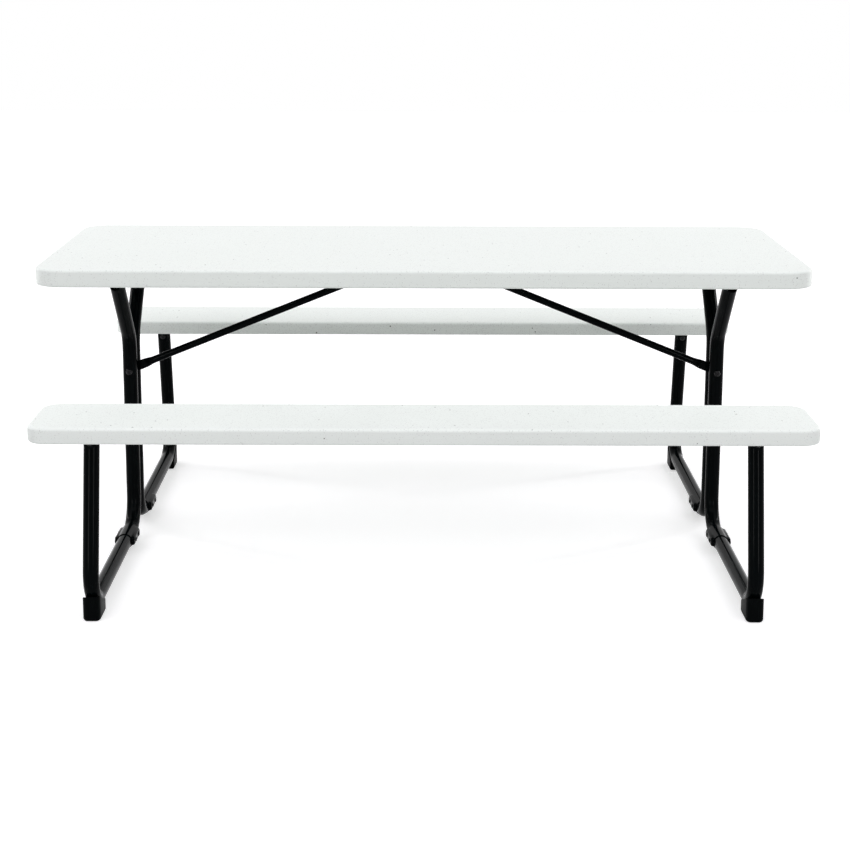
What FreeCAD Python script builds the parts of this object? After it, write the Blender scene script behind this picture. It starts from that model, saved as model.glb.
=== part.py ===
import FreeCAD, Part
import Sketcher
import math
import os
from types import SimpleNamespace
from FreeCAD import Placement, Rotation, Vector

# Picnic table: a moulded plastic top and two benches on a pair of bent tube end frames.
# X runs along the table, -Y is the front bench, Z is up, and the origin is on the floor
# under the middle of the top. All lengths are in millimetres.

# Driving dimensions
SIZES = {
    # moulded top
    "table_length": 1829.0,
    "table_width": 762.0,
    "table_height": 749.0,
    "table_edge": 42.0,
    "table_corner": 70.0,
    "table_recess": 12.0,
    "table_lip": 22.0,
    # moulded bench seats
    "bench_inset": 47.0,
    "bench_width": 240.0,
    "bench_height": 459.0,
    "bench_edge": 36.0,
    "bench_corner": 45.0,
    "bench_recess": 4.0,
    "bench_lip": 18.0,
    "bench_gap": 111.0,
    # hollow moulding
    "skin": 3.5,
    "edge_round": 6.0,
    "post_radius": 9.0,
    "pilot_depth": 16.0,
    # end frame tubes
    "frame_inset": 170.5,
    "tube_radius": 18.0,
    "tube_wall": 1.5,
    "upright_spread": 28.5,
    "splay_rise": 165.0,
    "splay_bend": 80.0,
    "arm_spread": 194.0,
    "base_height": 33.0,
    "base_bend": 75.0,
    "joint_reach": 150.0,
    "joint_gap": 0.6,
    "leg_splay": 83.0,
    "foot_bend": 70.0,
    "leg_overrun": 11.0,
    "plug_cap": 2.0,
    "plug_insert": 2.0,
    # hinge of the frame under the top
    "hinge_drop": 35.0,
    "hinge_bar_radius": 12.5,
    "hinge_bar_wall": 2.5,
    "hinge_bar_overhang": 32.0,
    "saddle_spread": 105.0,
    "saddle_width": 30.0,
    "saddle_wall": 4.0,
    "flange_thickness": 3.0,
    "flange_reach": 36.0,
    "saddle_screw_reach": 27.0,
    # socket that joins an upright to a bench support
    "socket_length": 88.0,
    "socket_wall": 2.0,
    "socket_ear_proud": 7.0,
    "socket_ear_height": 24.0,
    "socket_ear_round": 9.0,
    "socket_bolt_pitch": 44.0,
    "socket_bolt_radius": 3.0,
    "socket_head_radius": 6.0,
    "socket_head_height": 3.5,
    # foot boot
    "foot_width": 40.0,
    "foot_toe_height": 58.0,
    "foot_heel_height": 28.0,
    "foot_set_back": 85.0,
    "foot_length": 81.0,
    "foot_toe_round": 14.0,
    "foot_round": 6.0,
    # cross bolt through both uprights
    "brace_bolt_drop": 86.0,
    "bolt_radius": 4.0,
    "bolt_head_radius": 8.0,
    "bolt_head_crown": 5.0,
    "bolt_head_height": 5.0,
    "nut_radius": 7.5,
    "nut_height": 6.5,
    "bolt_tail": 3.0,
    "spacer_radius": 9.0,
    # diagonal brace
    "brace_radius": 9.0,
    "brace_wall": 1.2,
    "brace_flat_thickness": 4.0,
    "brace_flat_width": 24.0,
    "brace_flat_length": 34.0,
    "brace_taper_length": 30.0,
    "brace_top_reach": 120.0,
    "brace_pin_drop": 35.0,
    "brace_pin_radius": 4.0,
    "brace_pin_half": 12.0,
    # keeper that the brace pin rests in
    "keeper_cheek_gap": 5.0,
    "keeper_cheek": 3.0,
    "keeper_back": 22.0,
    "keeper_front": 14.0,
    "keeper_drop": 10.0,
    "keeper_web_half": 29.0,
    "keeper_screw_reach": 20.0,
    # bench pivot and its bracket
    "pivot_inset": 12.0,
    "pivot_drop": 27.0,
    "bracket_gap": 22.5,
    "bracket_plate": 3.0,
    "bracket_ear_half": 14.0,
    "bracket_web_half": 38.0,
    "bracket_screw_reach": 29.0,
    # screws into the mouldings
    "screw_radius": 2.4,
    "screw_head_radius": 5.5,
    "screw_head_height": 2.5,
    "screw_length": 14.0,
    # clearances
    "seat_clearance": 0.1,
    "running_clearance": 0.05,
    "bolt_clearance": 0.25,
    "open_clearance": 0.3,
    "keeper_clearance": 0.5,
    # how far a cutting solid runs past what it cuts
    "overrun": 5.0,
}


class Size:
    """A length that carries its value and the expression that binds it to the sheet."""

    def __init__(self, value, formula):
        self.value = value
        self.formula = formula

    def join(self, other, sign, value):
        return Size(value, f"({self.formula} {sign} {other.formula})")

    def __add__(self, other):
        return self.join(other, "+", self.value + other.value)

    def __sub__(self, other):
        return self.join(other, "-", self.value - other.value)

    def __mul__(self, factor):
        if isinstance(factor, Size):
            return self.join(factor, "*", self.value * factor.value)
        return Size(self.value * factor, f"({self.formula} * {factor})")

    def __truediv__(self, other):
        if isinstance(other, Size):
            return self.join(other, "/", self.value / other.value)
        return Size(self.value / other, f"({self.formula} / {other})")

    def __neg__(self):
        return Size(-self.value, f"(0 - {self.formula})")


doc = FreeCAD.newDocument("picnic_table")
sheet = doc.addObject("Spreadsheet::Sheet", "sizes")
for row, (alias, value) in enumerate(SIZES.items(), start=1):
    sheet.set(f"A{row}", alias)
    sheet.set(f"B{row}", str(value))
    sheet.setAlias(f"B{row}", alias)
doc.recompute()

d = SimpleNamespace(**{alias: Size(value, f"sizes.{alias}") for alias, value in SIZES.items()})
ZERO = Size(0.0, "0")
nodes = {}

# Points closer than this count as the same
NEAR = 1e-4

# Heights and places that several pieces share
table_under = d.table_height - d.table_edge + d.table_recess
hinge_height = table_under - d.hinge_drop
splay_height = hinge_height - d.splay_rise
brace_height = splay_height - d.brace_bolt_drop
brace_top_height = table_under - d.brace_pin_drop
frame_reach = d.table_length / 2 - d.frame_inset
bench_length = d.table_length - d.bench_inset * 2
bench_reach = d.table_width / 2 + d.bench_gap + d.bench_width / 2
bench_under = d.bench_height - d.bench_edge + d.bench_recess
pivot_reach = bench_reach - d.pivot_inset
pivot_height = bench_under - d.pivot_drop
foot_reach = pivot_reach + d.leg_splay
foot_heel = foot_reach - d.foot_set_back
socket_start = d.joint_reach - d.socket_length / 2
tube_bore = d.tube_radius - d.tube_wall
leg_lean = d.leg_splay / (pivot_height - d.base_height)
upright_face = d.upright_spread + d.tube_radius
socket_half = d.tube_radius + d.socket_ear_proud
ENDS = {"left": -1, "right": 1}
SIDES = {"front": -1, "rear": 1}


def signed(size, sign):
    return size if sign > 0 else -size


def bind(item, **sizes):
    for name, size in sizes.items():
        item.setExpression(name, size.formula)
    return item


def move(item, x=ZERO, y=ZERO, z=ZERO, turn=None):
    """Put an object at a place that follows the sheet, with a fixed turn."""
    item.Placement = Placement(Vector(x.value, y.value, z.value), turn or Rotation())
    for axis, size in zip("xyz", (x, y, z)):
        item.setExpression(f"Placement.Base.{axis}", size.formula)
    return item


TURN_TO = {
    "x": Rotation(Vector(0, 1, 0), 90),
    "y": Rotation(Vector(1, 0, 0), -90),
    "z": Rotation(),
}
HALF_TURN = Rotation(Vector(0, 0, 1), 180)


def cylinder(name, axis, radius, length, x=ZERO, y=ZERO, z=ZERO):
    item = doc.addObject("Part::Cylinder", name)
    bind(item, Radius=radius, Height=length)
    return move(item, x, y, z, TURN_TO[axis])


def cone(name, axis, base, crown, height, x=ZERO, y=ZERO, z=ZERO):
    item = doc.addObject("Part::Cone", name)
    bind(item, Radius1=base, Radius2=crown, Height=height)
    return move(item, x, y, z, TURN_TO[axis])


def box(name, low, high):
    """A block between two corners, each a triple of sizes."""
    item = doc.addObject("Part::Box", name)
    bind(item, Length=high[0] - low[0], Width=high[1] - low[1], Height=high[2] - low[2])
    return move(item, *low)


def fuse(name, items):
    item = doc.addObject("Part::MultiFuse", name)
    item.Shapes = items
    return item


def cut(name, base, tools):
    item = doc.addObject("Part::Cut", name)
    item.Base = base
    item.Tool = tools[0] if len(tools) == 1 else fuse(name + "_tools", tools)
    return item


def group(name, items):
    item = doc.addObject("Part::Compound", name)
    item.Links = items
    return item


def keep(name, item):
    """Give an object the label of its node and list it for writing."""
    item.Label = name
    nodes[name] = item
    return item


def new_sketch(body, name, role, offset=ZERO):
    sketch = body.newObject("Sketcher::SketchObject", name)
    plane = [feature for feature in body.Origin.OriginFeatures if feature.Role == role][0]
    sketch.AttachmentSupport = [(plane, "")]
    sketch.MapMode = "FlatFace"
    sketch.AttachmentOffset = Placement(Vector(0, 0, offset.value), Rotation())
    sketch.setExpression("AttachmentOffset.Base.z", offset.formula)
    return sketch


def fix(sketch, kind, places, size):
    """Add a dimension to a sketch and tie it to the sheet."""
    index = sketch.addConstraint(Sketcher.Constraint(kind, *places, size.value))
    sketch.renameConstraint(index, f"size_{index}")
    sketch.setExpression(f"Constraints.size_{index}", size.formula)


def pin_point(sketch, place, x, y):
    """Hold one point of a sketch at a distance from its origin along each axis."""
    for kind, size, axis in (("DistanceX", x, -2), ("DistanceY", y, -1)):
        if size is ZERO:
            sketch.addConstraint(Sketcher.Constraint("PointOnObject", *place, axis))
        elif size.value > 0:
            fix(sketch, kind, (-1, 1, *place), size)
        else:
            fix(sketch, kind, (*place, -1, 1), -size)


def draw_rectangle(sketch, width, height):
    x = width.value / 2
    y = height.value / 2
    corners = [Vector(-x, -y), Vector(x, -y), Vector(x, y), Vector(-x, y)]
    for index in range(4):
        sketch.addGeometry(Part.LineSegment(corners[index], corners[(index + 1) % 4]))
    for index in range(4):
        sketch.addConstraint(Sketcher.Constraint("Coincident", index, 2, (index + 1) % 4, 1))
        sketch.addConstraint(Sketcher.Constraint("Vertical" if index % 2 else "Horizontal", index))
    sketch.addConstraint(Sketcher.Constraint("Symmetric", 0, 1, 2, 1, -1, 1))
    fix(sketch, "DistanceX", (0, 1, 0, 2), width)
    fix(sketch, "DistanceY", (1, 1, 1, 2), height)


def draw_wedge(sketch, length, low_end, high_end):
    """A flat-bottomed wedge that starts at the sketch's origin and rises along it."""
    far = length.value
    corners = [Vector(), Vector(far, 0), Vector(far, high_end.value), Vector(0, low_end.value)]
    for index in range(4):
        sketch.addGeometry(Part.LineSegment(corners[index], corners[(index + 1) % 4]))
    for index in range(4):
        sketch.addConstraint(Sketcher.Constraint("Coincident", index, 2, (index + 1) % 4, 1))
    sketch.addConstraint(Sketcher.Constraint("Coincident", 0, 1, -1, 1))
    sketch.addConstraint(Sketcher.Constraint("Horizontal", 0))
    sketch.addConstraint(Sketcher.Constraint("Vertical", 1))
    sketch.addConstraint(Sketcher.Constraint("Vertical", 3))
    fix(sketch, "DistanceX", (0, 1, 0, 2), length)
    fix(sketch, "DistanceY", (1, 1, 1, 2), high_end)
    fix(sketch, "DistanceY", (3, 2, 3, 1), low_end)


def draw_circle(sketch, radius, x=ZERO, y=ZERO):
    centre = Vector(x.value, y.value)
    index = sketch.addGeometry(Part.Circle(centre, Vector(0, 0, 1), radius.value))
    fix(sketch, "Radius", (index,), radius)
    pin_point(sketch, (index, 3), x, y)


def pad(body, sketch, length):
    feature = body.newObject("PartDesign::Pad", sketch.Name + "_pad")
    feature.Profile = sketch
    return bind(feature, Length=length)


def pocket_up(body, sketch, length):
    feature = body.newObject("PartDesign::Pocket", sketch.Name + "_pocket")
    feature.Profile = sketch
    feature.Reversed = True
    return bind(feature, Length=length)


def round_edges(body, feature, radius, chosen):
    """Fillet the edges of a feature that the chosen test accepts."""
    doc.recompute()
    names = [f"Edge{i}" for i, edge in enumerate(feature.Shape.Edges, start=1) if chosen(edge)]
    fillet = body.newObject("PartDesign::Fillet", feature.Name + "_round")
    fillet.Base = (feature, names)
    return bind(fillet, Radius=radius)


def runs_along(axis):
    def chosen(edge):
        ends = [vertex.Point for vertex in edge.Vertexes]
        if len(ends) < 2:
            return False
        run = ends[1] - ends[0]
        return run.Length - abs(getattr(run, axis)) < NEAR
    return chosen


def lies_level(height):
    def chosen(edge):
        span = edge.BoundBox
        return span.ZLength < NEAR and abs(span.ZMin - height) < NEAR
    return chosen


def lies_level_at(*heights):
    tests = [lies_level(height) for height in heights]
    return lambda edge: any(test(edge) for test in tests)


# Hollow mouldings

def slab(name, length, width, edge, corner, recess, lip, points):
    """A blow moulded board: rounded outside, recessed underneath, hollow between its skins."""
    body = doc.addObject("PartDesign::Body", name + "_outside")
    outline = new_sketch(body, name + "_outline", "XY_Plane")
    draw_rectangle(outline, length, width)
    board = pad(body, outline, edge)
    round_edges(body, board, corner, runs_along("z"))
    panel = new_sketch(body, name + "_panel", "XY_Plane")
    draw_rectangle(panel, length - lip * 2, width - lip * 2)
    board = pocket_up(body, panel, recess)
    inner_x = length.value / 2 - lip.value
    inner_y = width.value / 2 - lip.value

    def inside_lip(found):
        span = found.BoundBox
        return max(span.XMax, -span.XMin) < inner_x + NEAR and max(span.YMax, -span.YMin) < inner_y + NEAR
    board = round_edges(body, board, corner - lip,
                        lambda found: runs_along("z")(found) and inside_lip(found))
    round_edges(body, board, d.edge_round,
                lambda found: lies_level_at(0.0, edge.value)(found) and not inside_lip(found))
    pilots = new_sketch(body, name + "_pilots", "XY_Plane")
    for x, y in points:
        draw_circle(pilots, d.screw_radius + d.seat_clearance, x, y)
    pocket_up(body, pilots, recess + d.pilot_depth)

    hollow = doc.addObject("PartDesign::Body", name + "_hollow")
    inside = new_sketch(hollow, name + "_inside", "XY_Plane", recess + d.skin)
    draw_rectangle(inside, length - d.skin * 2, width - d.skin * 2)
    for x, y in points:
        draw_circle(inside, d.post_radius, x, y)
    space = pad(hollow, inside, edge - recess - d.skin * 2)
    round_edges(hollow, space, corner - d.skin, runs_along("z"))
    return cut(name, body, [hollow])


def screw(name, x, y, seat):
    """A pan head screw that points up, with the underside of its head at the seat."""
    head = cylinder(name + "_head", "z", d.screw_head_radius, d.screw_head_height,
                    x, y, seat - d.screw_head_height)
    shank = cylinder(name + "_shank", "z", d.screw_radius, d.screw_length, x, y, seat)
    return fuse(name, [head, shank])


saddle_screws = [(signed(frame_reach, end) + signed(d.saddle_screw_reach, step),
                  signed(d.saddle_spread, side))
                 for end in (-1, 1) for side in (-1, 1) for step in (-1, 1)]
keeper_screws = [(signed(d.brace_top_reach, end), signed(d.keeper_screw_reach, side))
                 for end in (-1, 1) for side in (-1, 1)]
table_points = saddle_screws + keeper_screws
table_seat = table_under - d.flange_thickness

table = keep("table_top", slab("table", d.table_length, d.table_width, d.table_edge, d.table_corner,
                               d.table_recess, d.table_lip, table_points))
move(table, z=d.table_height - d.table_edge)
keep("table_screws", group("table_screw_set", [
    screw(f"table_screw_{i}", x, y, table_seat) for i, (x, y) in enumerate(table_points)]))


# Hinge saddles and brace keepers under the top

def hinge_saddle(name):
    """A strap round the hinge bar with a flange that is screwed to the top."""
    drop = table_under - hinge_height
    half = d.saddle_width / 2
    ring = d.hinge_bar_radius + d.running_clearance + d.saddle_wall
    flange = box(name + "_flange", (-d.flange_reach, -half, drop - d.flange_thickness),
                 (d.flange_reach, half, drop))
    web = box(name + "_web", (-ring, -half, ZERO), (ring, half, drop))
    eye = cylinder(name + "_eye", "y", ring, d.saddle_width, y=-half)
    bore = cylinder(name + "_bore", "y", d.hinge_bar_radius + d.running_clearance,
                    d.saddle_width + d.overrun * 2, y=-half - d.overrun)
    holes = [cylinder(f"{name}_hole_{i}", "z", d.screw_radius + d.bolt_clearance, d.overrun * 2,
                      x=signed(d.saddle_screw_reach, step), z=drop - d.flange_thickness - d.overrun)
             for i, step in enumerate((-1, 1))]
    return cut(name, fuse(name + "_solid", [flange, web, eye]), [bore, *holes])


def brace_keeper(name):
    """Two cheeks that a brace pin rests against from below and from its right-hand side."""
    drop = table_under - brace_top_height
    web_low = drop - d.flange_thickness
    room = d.brace_pin_radius + d.keeper_clearance
    solids = [box(name + "_web", (-d.keeper_back, -d.keeper_web_half, web_low),
                  (d.keeper_front, d.keeper_web_half, drop))]
    for tag, near in (("rear", d.keeper_cheek_gap), ("front", -d.keeper_cheek_gap - d.keeper_cheek)):
        far = near + d.keeper_cheek
        solids.append(box(f"{name}_{tag}_back", (-d.keeper_back, near, -d.keeper_drop),
                          (-room, far, web_low)))
        solids.append(box(f"{name}_{tag}_roof", (-room, near, room), (d.keeper_front, far, web_low)))
    holes = [cylinder(f"{name}_hole_{i}", "z", d.screw_radius + d.bolt_clearance, d.overrun * 2,
                      y=signed(d.keeper_screw_reach, side), z=web_low - d.overrun)
             for i, side in enumerate((-1, 1))]
    return cut(name, fuse(name + "_solid", solids), holes)


for end, end_sign in ENDS.items():
    for side, side_sign in SIDES.items():
        label = f"{end}_{side}_hinge_saddle"
        move(keep(label, hinge_saddle(label)), signed(frame_reach, end_sign),
             signed(d.saddle_spread, side_sign), hinge_height)
    label = f"{end}_brace_keeper"
    move(keep(label, brace_keeper(label)), signed(d.brace_top_reach, end_sign), ZERO, brace_top_height)


# Bent tubes, drawn for the rear side and turned round for the front

def bend(before, corner, after, radius):
    """The tangent arc that rounds a corner of a tube's centre line."""
    back = (before - corner).normalize()
    ahead = (after - corner).normalize()
    half = back.getAngle(ahead) / 2
    reach = radius / math.tan(half)
    middle = corner + (back + ahead).normalize() * (radius / math.sin(half))
    start = corner + back * reach
    finish = corner + ahead * reach
    halfway = middle + (corner - middle).normalize() * radius
    return start, finish, Part.Arc(start, halfway, finish)


def draw_path(sketch, corners, radii, end_height):
    """Lines and tangent arcs through the corners, the last one carried on to a height."""
    points = [Vector(y.value, z.value) for y, z in corners]
    last = points[-1] - points[-2]
    points[-1] = points[-2] + last * ((end_height.value - points[-2].y) / last.y)
    lines = []
    start = points[0]
    for index, radius in enumerate(radii, start=1):
        turn_in, turn_out, arc = bend(points[index - 1], points[index], points[index + 1], radius.value)
        lines.append(sketch.addGeometry(Part.LineSegment(start, turn_in)))
        curve = sketch.addGeometry(arc)
        fix(sketch, "Radius", (curve,), radius)
        start = turn_out
    lines.append(sketch.addGeometry(Part.LineSegment(start, points[-1])))
    for line in lines[:-1]:
        curve = line + 1
        meeting = sketch.getPoint(line, 2)
        near = min((1, 2), key=lambda end: (sketch.getPoint(curve, end) - meeting).Length)
        sketch.addConstraint(Sketcher.Constraint("Tangent", line, 2, curve, near))
        sketch.addConstraint(Sketcher.Constraint("Tangent", curve, 3 - near, line + 2, 1))
    pin_point(sketch, (lines[0], 1), *corners[0])
    sketch.addConstraint(Sketcher.Constraint("Horizontal", lines[0]))
    if len(lines) > 2:
        sketch.addConstraint(Sketcher.Constraint("Vertical", lines[1]))
    for y, z in corners[-2:]:
        mark = sketch.addGeometry(Part.Point(Vector(y.value, z.value)), True)
        pin_point(sketch, (mark, 1), y, z)
        sketch.addConstraint(Sketcher.Constraint("PointOnObject", mark, 1, lines[-1]))
    fix(sketch, "DistanceY", (-1, 1, lines[-1], 2), end_height)
    return [f"Edge{i + 1}" for i in range(2 * len(radii) + 1)]


def bent_tube(name, corners, radii, end_height, radius, bore=None):
    body = doc.addObject("PartDesign::Body", name)
    path = new_sketch(body, name + "_path", "YZ_Plane")
    edges = draw_path(path, corners, radii, end_height)
    section = new_sketch(body, name + "_section", "XZ_Plane", -corners[0][0])
    draw_circle(section, radius, ZERO, corners[0][1])
    if bore:
        draw_circle(section, bore, ZERO, corners[0][1])
    pipe = body.newObject("PartDesign::AdditivePipe", name + "_pipe")
    pipe.Profile = section
    pipe.Spine = (path, edges)
    return body


def cross_hole(name, radius, y):
    """A cutter along X through a tube that lies on the floor line."""
    half = socket_half + d.overrun
    return cylinder(name, "x", radius, half * 2, -half, y, d.base_height)


def hinge_bar(name):
    """The tube across both arms that turns in the saddles."""
    half = d.arm_spread + d.hinge_bar_overhang
    tube = cylinder(name + "_tube", "y", d.hinge_bar_radius, half * 2, y=-half)
    bore = cylinder(name + "_bore", "y", d.hinge_bar_radius - d.hinge_bar_wall,
                    (half + d.overrun) * 2, y=-half - d.overrun)
    return cut(name, tube, [bore])


def upright(name):
    """Upright: from its socket round the base bend, up, and out to the hinge bar."""
    corners = [(d.joint_reach - d.joint_gap / 2, d.base_height), (d.upright_spread, d.base_height),
               (d.upright_spread, splay_height), (d.arm_spread, hinge_height)]
    top = hinge_height + d.tube_radius
    tube = bent_tube(name + "_tube", corners, [d.base_bend, d.splay_bend], top, d.tube_radius, tube_bore)
    reach = d.arm_spread + d.tube_radius * 2 + d.overrun
    above = box(name + "_above", (-d.tube_radius - d.overrun, ZERO, hinge_height),
                (d.tube_radius + d.overrun, reach, top + d.tube_radius + d.overrun))
    bar = cylinder(name + "_bar_seat", "y", d.hinge_bar_radius + d.seat_clearance, reach, z=hinge_height)
    bolt = cylinder(name + "_bolt_hole", "y", d.bolt_radius + d.bolt_clearance, upright_face + d.overrun,
                    z=brace_height)
    joint = cross_hole(name + "_joint_hole", d.socket_bolt_radius + d.bolt_clearance,
                       d.joint_reach - d.socket_bolt_pitch / 2)
    return cut(name, tube, [above, bar, bolt, joint])


support_corners = [(d.joint_reach + d.joint_gap / 2, d.base_height), (foot_reach, d.base_height),
                   (pivot_reach, pivot_height)]
leg_top = pivot_height + d.leg_overrun
leg_top_reach = pivot_reach - d.leg_overrun * leg_lean
LEG_LEAN = Rotation(Vector(1, 0, 0), math.degrees(math.atan(leg_lean.value)))


def bench_support(name, pivot_clearance):
    """Bench support: along the floor from its socket, round the foot and up to the bench pivot."""
    tube = bent_tube(name + "_tube", support_corners, [d.foot_bend], leg_top, d.tube_radius, tube_bore)
    half = d.bracket_gap + d.overrun
    pivot = cylinder(name + "_pivot_hole", "y", d.bolt_radius + pivot_clearance, half * 2,
                     y=pivot_reach - half, z=pivot_height)
    joint = cross_hole(name + "_joint_hole", d.socket_bolt_radius + d.bolt_clearance,
                       d.joint_reach + d.socket_bolt_pitch / 2)
    return cut(name, tube, [pivot, joint])


def socket(name):
    """A sleeve over both tube ends, with a bolted ear down each side."""
    sleeve = cylinder(name + "_sleeve", "y", d.tube_radius + d.socket_wall, d.socket_length,
                      y=socket_start, z=d.base_height)
    ears = doc.addObject("PartDesign::Body", name + "_ears")
    outline = new_sketch(ears, name + "_ear_outline", "YZ_Plane", -socket_half)
    draw_rectangle(outline, d.socket_length, d.socket_ear_height)
    round_edges(ears, pad(ears, outline, socket_half * 2), d.socket_ear_round, runs_along("x"))
    move(ears, y=socket_start + d.socket_length / 2, z=d.base_height)
    bore = cylinder(name + "_bore", "y", d.tube_radius + d.seat_clearance,
                    d.socket_length + d.overrun * 2, y=socket_start - d.overrun, z=d.base_height)
    holes = [cross_hole(f"{name}_hole_{i}", d.socket_bolt_radius + d.bolt_clearance,
                        d.joint_reach + signed(d.socket_bolt_pitch / 2, step))
             for i, step in enumerate((-1, 1))]
    return cut(name, fuse(name + "_solid", [sleeve, ears]), [bore, *holes])


def socket_bolt(name, y):
    """A bolt across a socket with a low head on each ear."""
    shank = cylinder(name + "_shank", "x", d.socket_bolt_radius, socket_half * 2, -socket_half, y,
                     d.base_height)
    right = cylinder(name + "_right", "x", d.socket_head_radius, d.socket_head_height, socket_half, y,
                     d.base_height)
    left = cylinder(name + "_left", "x", d.socket_head_radius, d.socket_head_height,
                    -socket_half - d.socket_head_height, y, d.base_height)
    return fuse(name, [shank, right, left])


def foot(name):
    """A moulded boot that cups the bend of a bench support, rising from its heel to a round toe."""
    body = doc.addObject("PartDesign::Body", name + "_block")
    outline = new_sketch(body, name + "_outline", "YZ_Plane", -d.foot_width / 2)
    draw_wedge(outline, d.foot_length, d.foot_heel_height, d.foot_toe_height)
    block = pad(body, outline, d.foot_width)
    upright_edge = runs_along("z")
    toe_end = d.foot_length.value - NEAR
    toe = round_edges(body, block, d.foot_toe_round,
                      lambda edge: upright_edge(edge) and edge.BoundBox.YMin > toe_end)
    round_edges(body, toe, d.foot_round,
                lambda edge: edge.BoundBox.ZMax < NEAR or upright_edge(edge) and edge.BoundBox.YMax < NEAR)
    move(body, y=foot_heel)
    channel = bent_tube(name + "_channel", support_corners, [d.foot_bend], leg_top,
                        d.tube_radius + d.seat_clearance)
    return cut(name, body, [channel])


def leg_plug(name):
    """A plug for the open top of a bench support, drawn upright."""
    cap = cylinder(name + "_cap", "z", d.tube_radius, d.plug_cap)
    insert = cylinder(name + "_insert", "z", tube_bore - d.seat_clearance, d.plug_insert, z=-d.plug_insert)
    return fuse(name, [cap, insert])


def cross_bolt(name):
    """The bolt that clamps both uprights and the brace, with its head at the front."""
    head = cone(name + "_head", "y", d.bolt_head_crown, d.bolt_head_radius, d.bolt_head_height,
                y=-upright_face - d.bolt_head_height)
    shank = cylinder(name + "_shank", "y", d.bolt_radius,
                     upright_face * 2 + d.nut_height + d.bolt_tail, y=-upright_face)
    return fuse(name, [head, shank])


def hex_nut(name):
    """A hexagon nut with its axis along Y."""
    blank = doc.addObject("Part::Prism", name + "_blank")
    blank.Polygon = 6
    bind(blank, Circumradius=d.nut_radius, Height=d.nut_height)
    blank.Placement = Placement(Vector(), TURN_TO["y"])
    bore = cylinder(name + "_bore", "y", d.bolt_radius + d.seat_clearance, d.nut_height + d.overrun * 2,
                    y=-d.overrun)
    return cut(name, blank, [bore])


def spacer(name, y, length):
    tube = cylinder(name + "_tube", "y", d.spacer_radius, length, y=y)
    bore = cylinder(name + "_bore", "y", d.bolt_radius + d.bolt_clearance, length + d.overrun * 2,
                    y=y - d.overrun)
    return cut(name, tube, [bore])


spacer_start = d.brace_flat_thickness / 2 + d.seat_clearance
spacer_length = d.upright_spread - d.tube_radius - spacer_start
for end, end_sign in ENDS.items():
    frame_x = signed(frame_reach, end_sign)
    move(keep(f"{end}_hinge_bar", hinge_bar(f"{end}_hinge_bar")), frame_x, ZERO, hinge_height)
    pivot_clearance = d.running_clearance if end == "left" else d.open_clearance
    for side, side_sign in SIDES.items():
        turn = HALF_TURN if side == "front" else Rotation()
        name = f"{end}_{side}"
        for label, piece in ((f"{name}_upright", upright(f"{name}_upright")),
                             (f"{name}_bench_support", bench_support(f"{name}_support", pivot_clearance)),
                             (f"{name}_socket", socket(f"{name}_socket")),
                             (f"{name}_foot", foot(f"{name}_foot"))):
            move(keep(label, piece), frame_x, turn=turn)
        move(keep(f"{name}_leg_plug", leg_plug(f"{name}_leg_plug")), frame_x,
             signed(leg_top_reach, side_sign), leg_top, turn.multiply(LEG_LEAN))
    bolt_places = [signed(d.joint_reach, side) + signed(d.socket_bolt_pitch / 2, step)
                   for side in (-1, 1) for step in (-1, 1)]
    bolts = [socket_bolt(f"{end}_socket_bolt_{i}", y) for i, y in enumerate(bolt_places)]
    move(keep(f"{end}_socket_bolts", group(f"{end}_socket_bolt_set", bolts)), frame_x)
    move(keep(f"{end}_cross_bolt", cross_bolt(f"{end}_cross_bolt")), frame_x, ZERO, brace_height)
    move(keep(f"{end}_cross_nut", hex_nut(f"{end}_cross_nut")), frame_x, upright_face, brace_height)
    spacers = [spacer(f"{end}_spacer_front", -spacer_start - spacer_length, spacer_length),
               spacer(f"{end}_spacer_rear", spacer_start, spacer_length)]
    move(keep(f"{end}_brace_spacers", group(f"{end}_spacer_set", spacers)), frame_x, ZERO, brace_height)


# Diagonal braces, drawn along X from the cross bolt to the keeper pin

brace_run = frame_reach - d.brace_top_reach
brace_rise = brace_top_height - brace_height
brace_span = math.hypot(brace_run.value, brace_rise.value)
brace_length = Size(brace_span, f"sqrt({brace_run.formula} ^ 2 + {brace_rise.formula} ^ 2)")
brace_slope = math.degrees(math.atan2(brace_rise.value, brace_run.value))


# Angles at which the corners of the flat strap run out on the round tube, in degrees
STRAP_CORNERS = (-120, -60, 60, 120, 240)


def draw_flat_section(sketch):
    draw_rectangle(sketch, d.brace_flat_thickness, d.brace_flat_width)


def draw_round_section(sketch):
    """A circle in four arcs, so that each runs to one side of the flat section."""
    circle = Part.Circle(Vector(), Vector(0, 0, 1), d.brace_radius.value)
    corners = [math.radians(angle) for angle in STRAP_CORNERS]
    for start, finish in zip(corners[:-1], corners[1:]):
        sketch.addGeometry(Part.ArcOfCircle(circle, start, finish))
    for index in range(4):
        sketch.addConstraint(Sketcher.Constraint("Coincident", index, 2, (index + 1) % 4, 1))
    for index in range(3):
        sketch.addConstraint(Sketcher.Constraint("Coincident", index, 3, -1, 1))
    sketch.addConstraint(Sketcher.Constraint("Equal", 0, 3))
    fix(sketch, "Radius", (0,), d.brace_radius)


def brace_taper(name, flat_at, round_at):
    """The pressed stretch where a round tube turns into a flat strap."""
    body = doc.addObject("PartDesign::Body", name)
    flat = new_sketch(body, name + "_flat", "YZ_Plane", flat_at)
    draw_flat_section(flat)
    full = new_sketch(body, name + "_full", "YZ_Plane", round_at)
    draw_round_section(full)
    loft = body.newObject("PartDesign::AdditiveLoft", name + "_loft")
    loft.Profile = flat
    loft.Sections = [full]
    loft.Ruled = True
    return body


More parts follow.
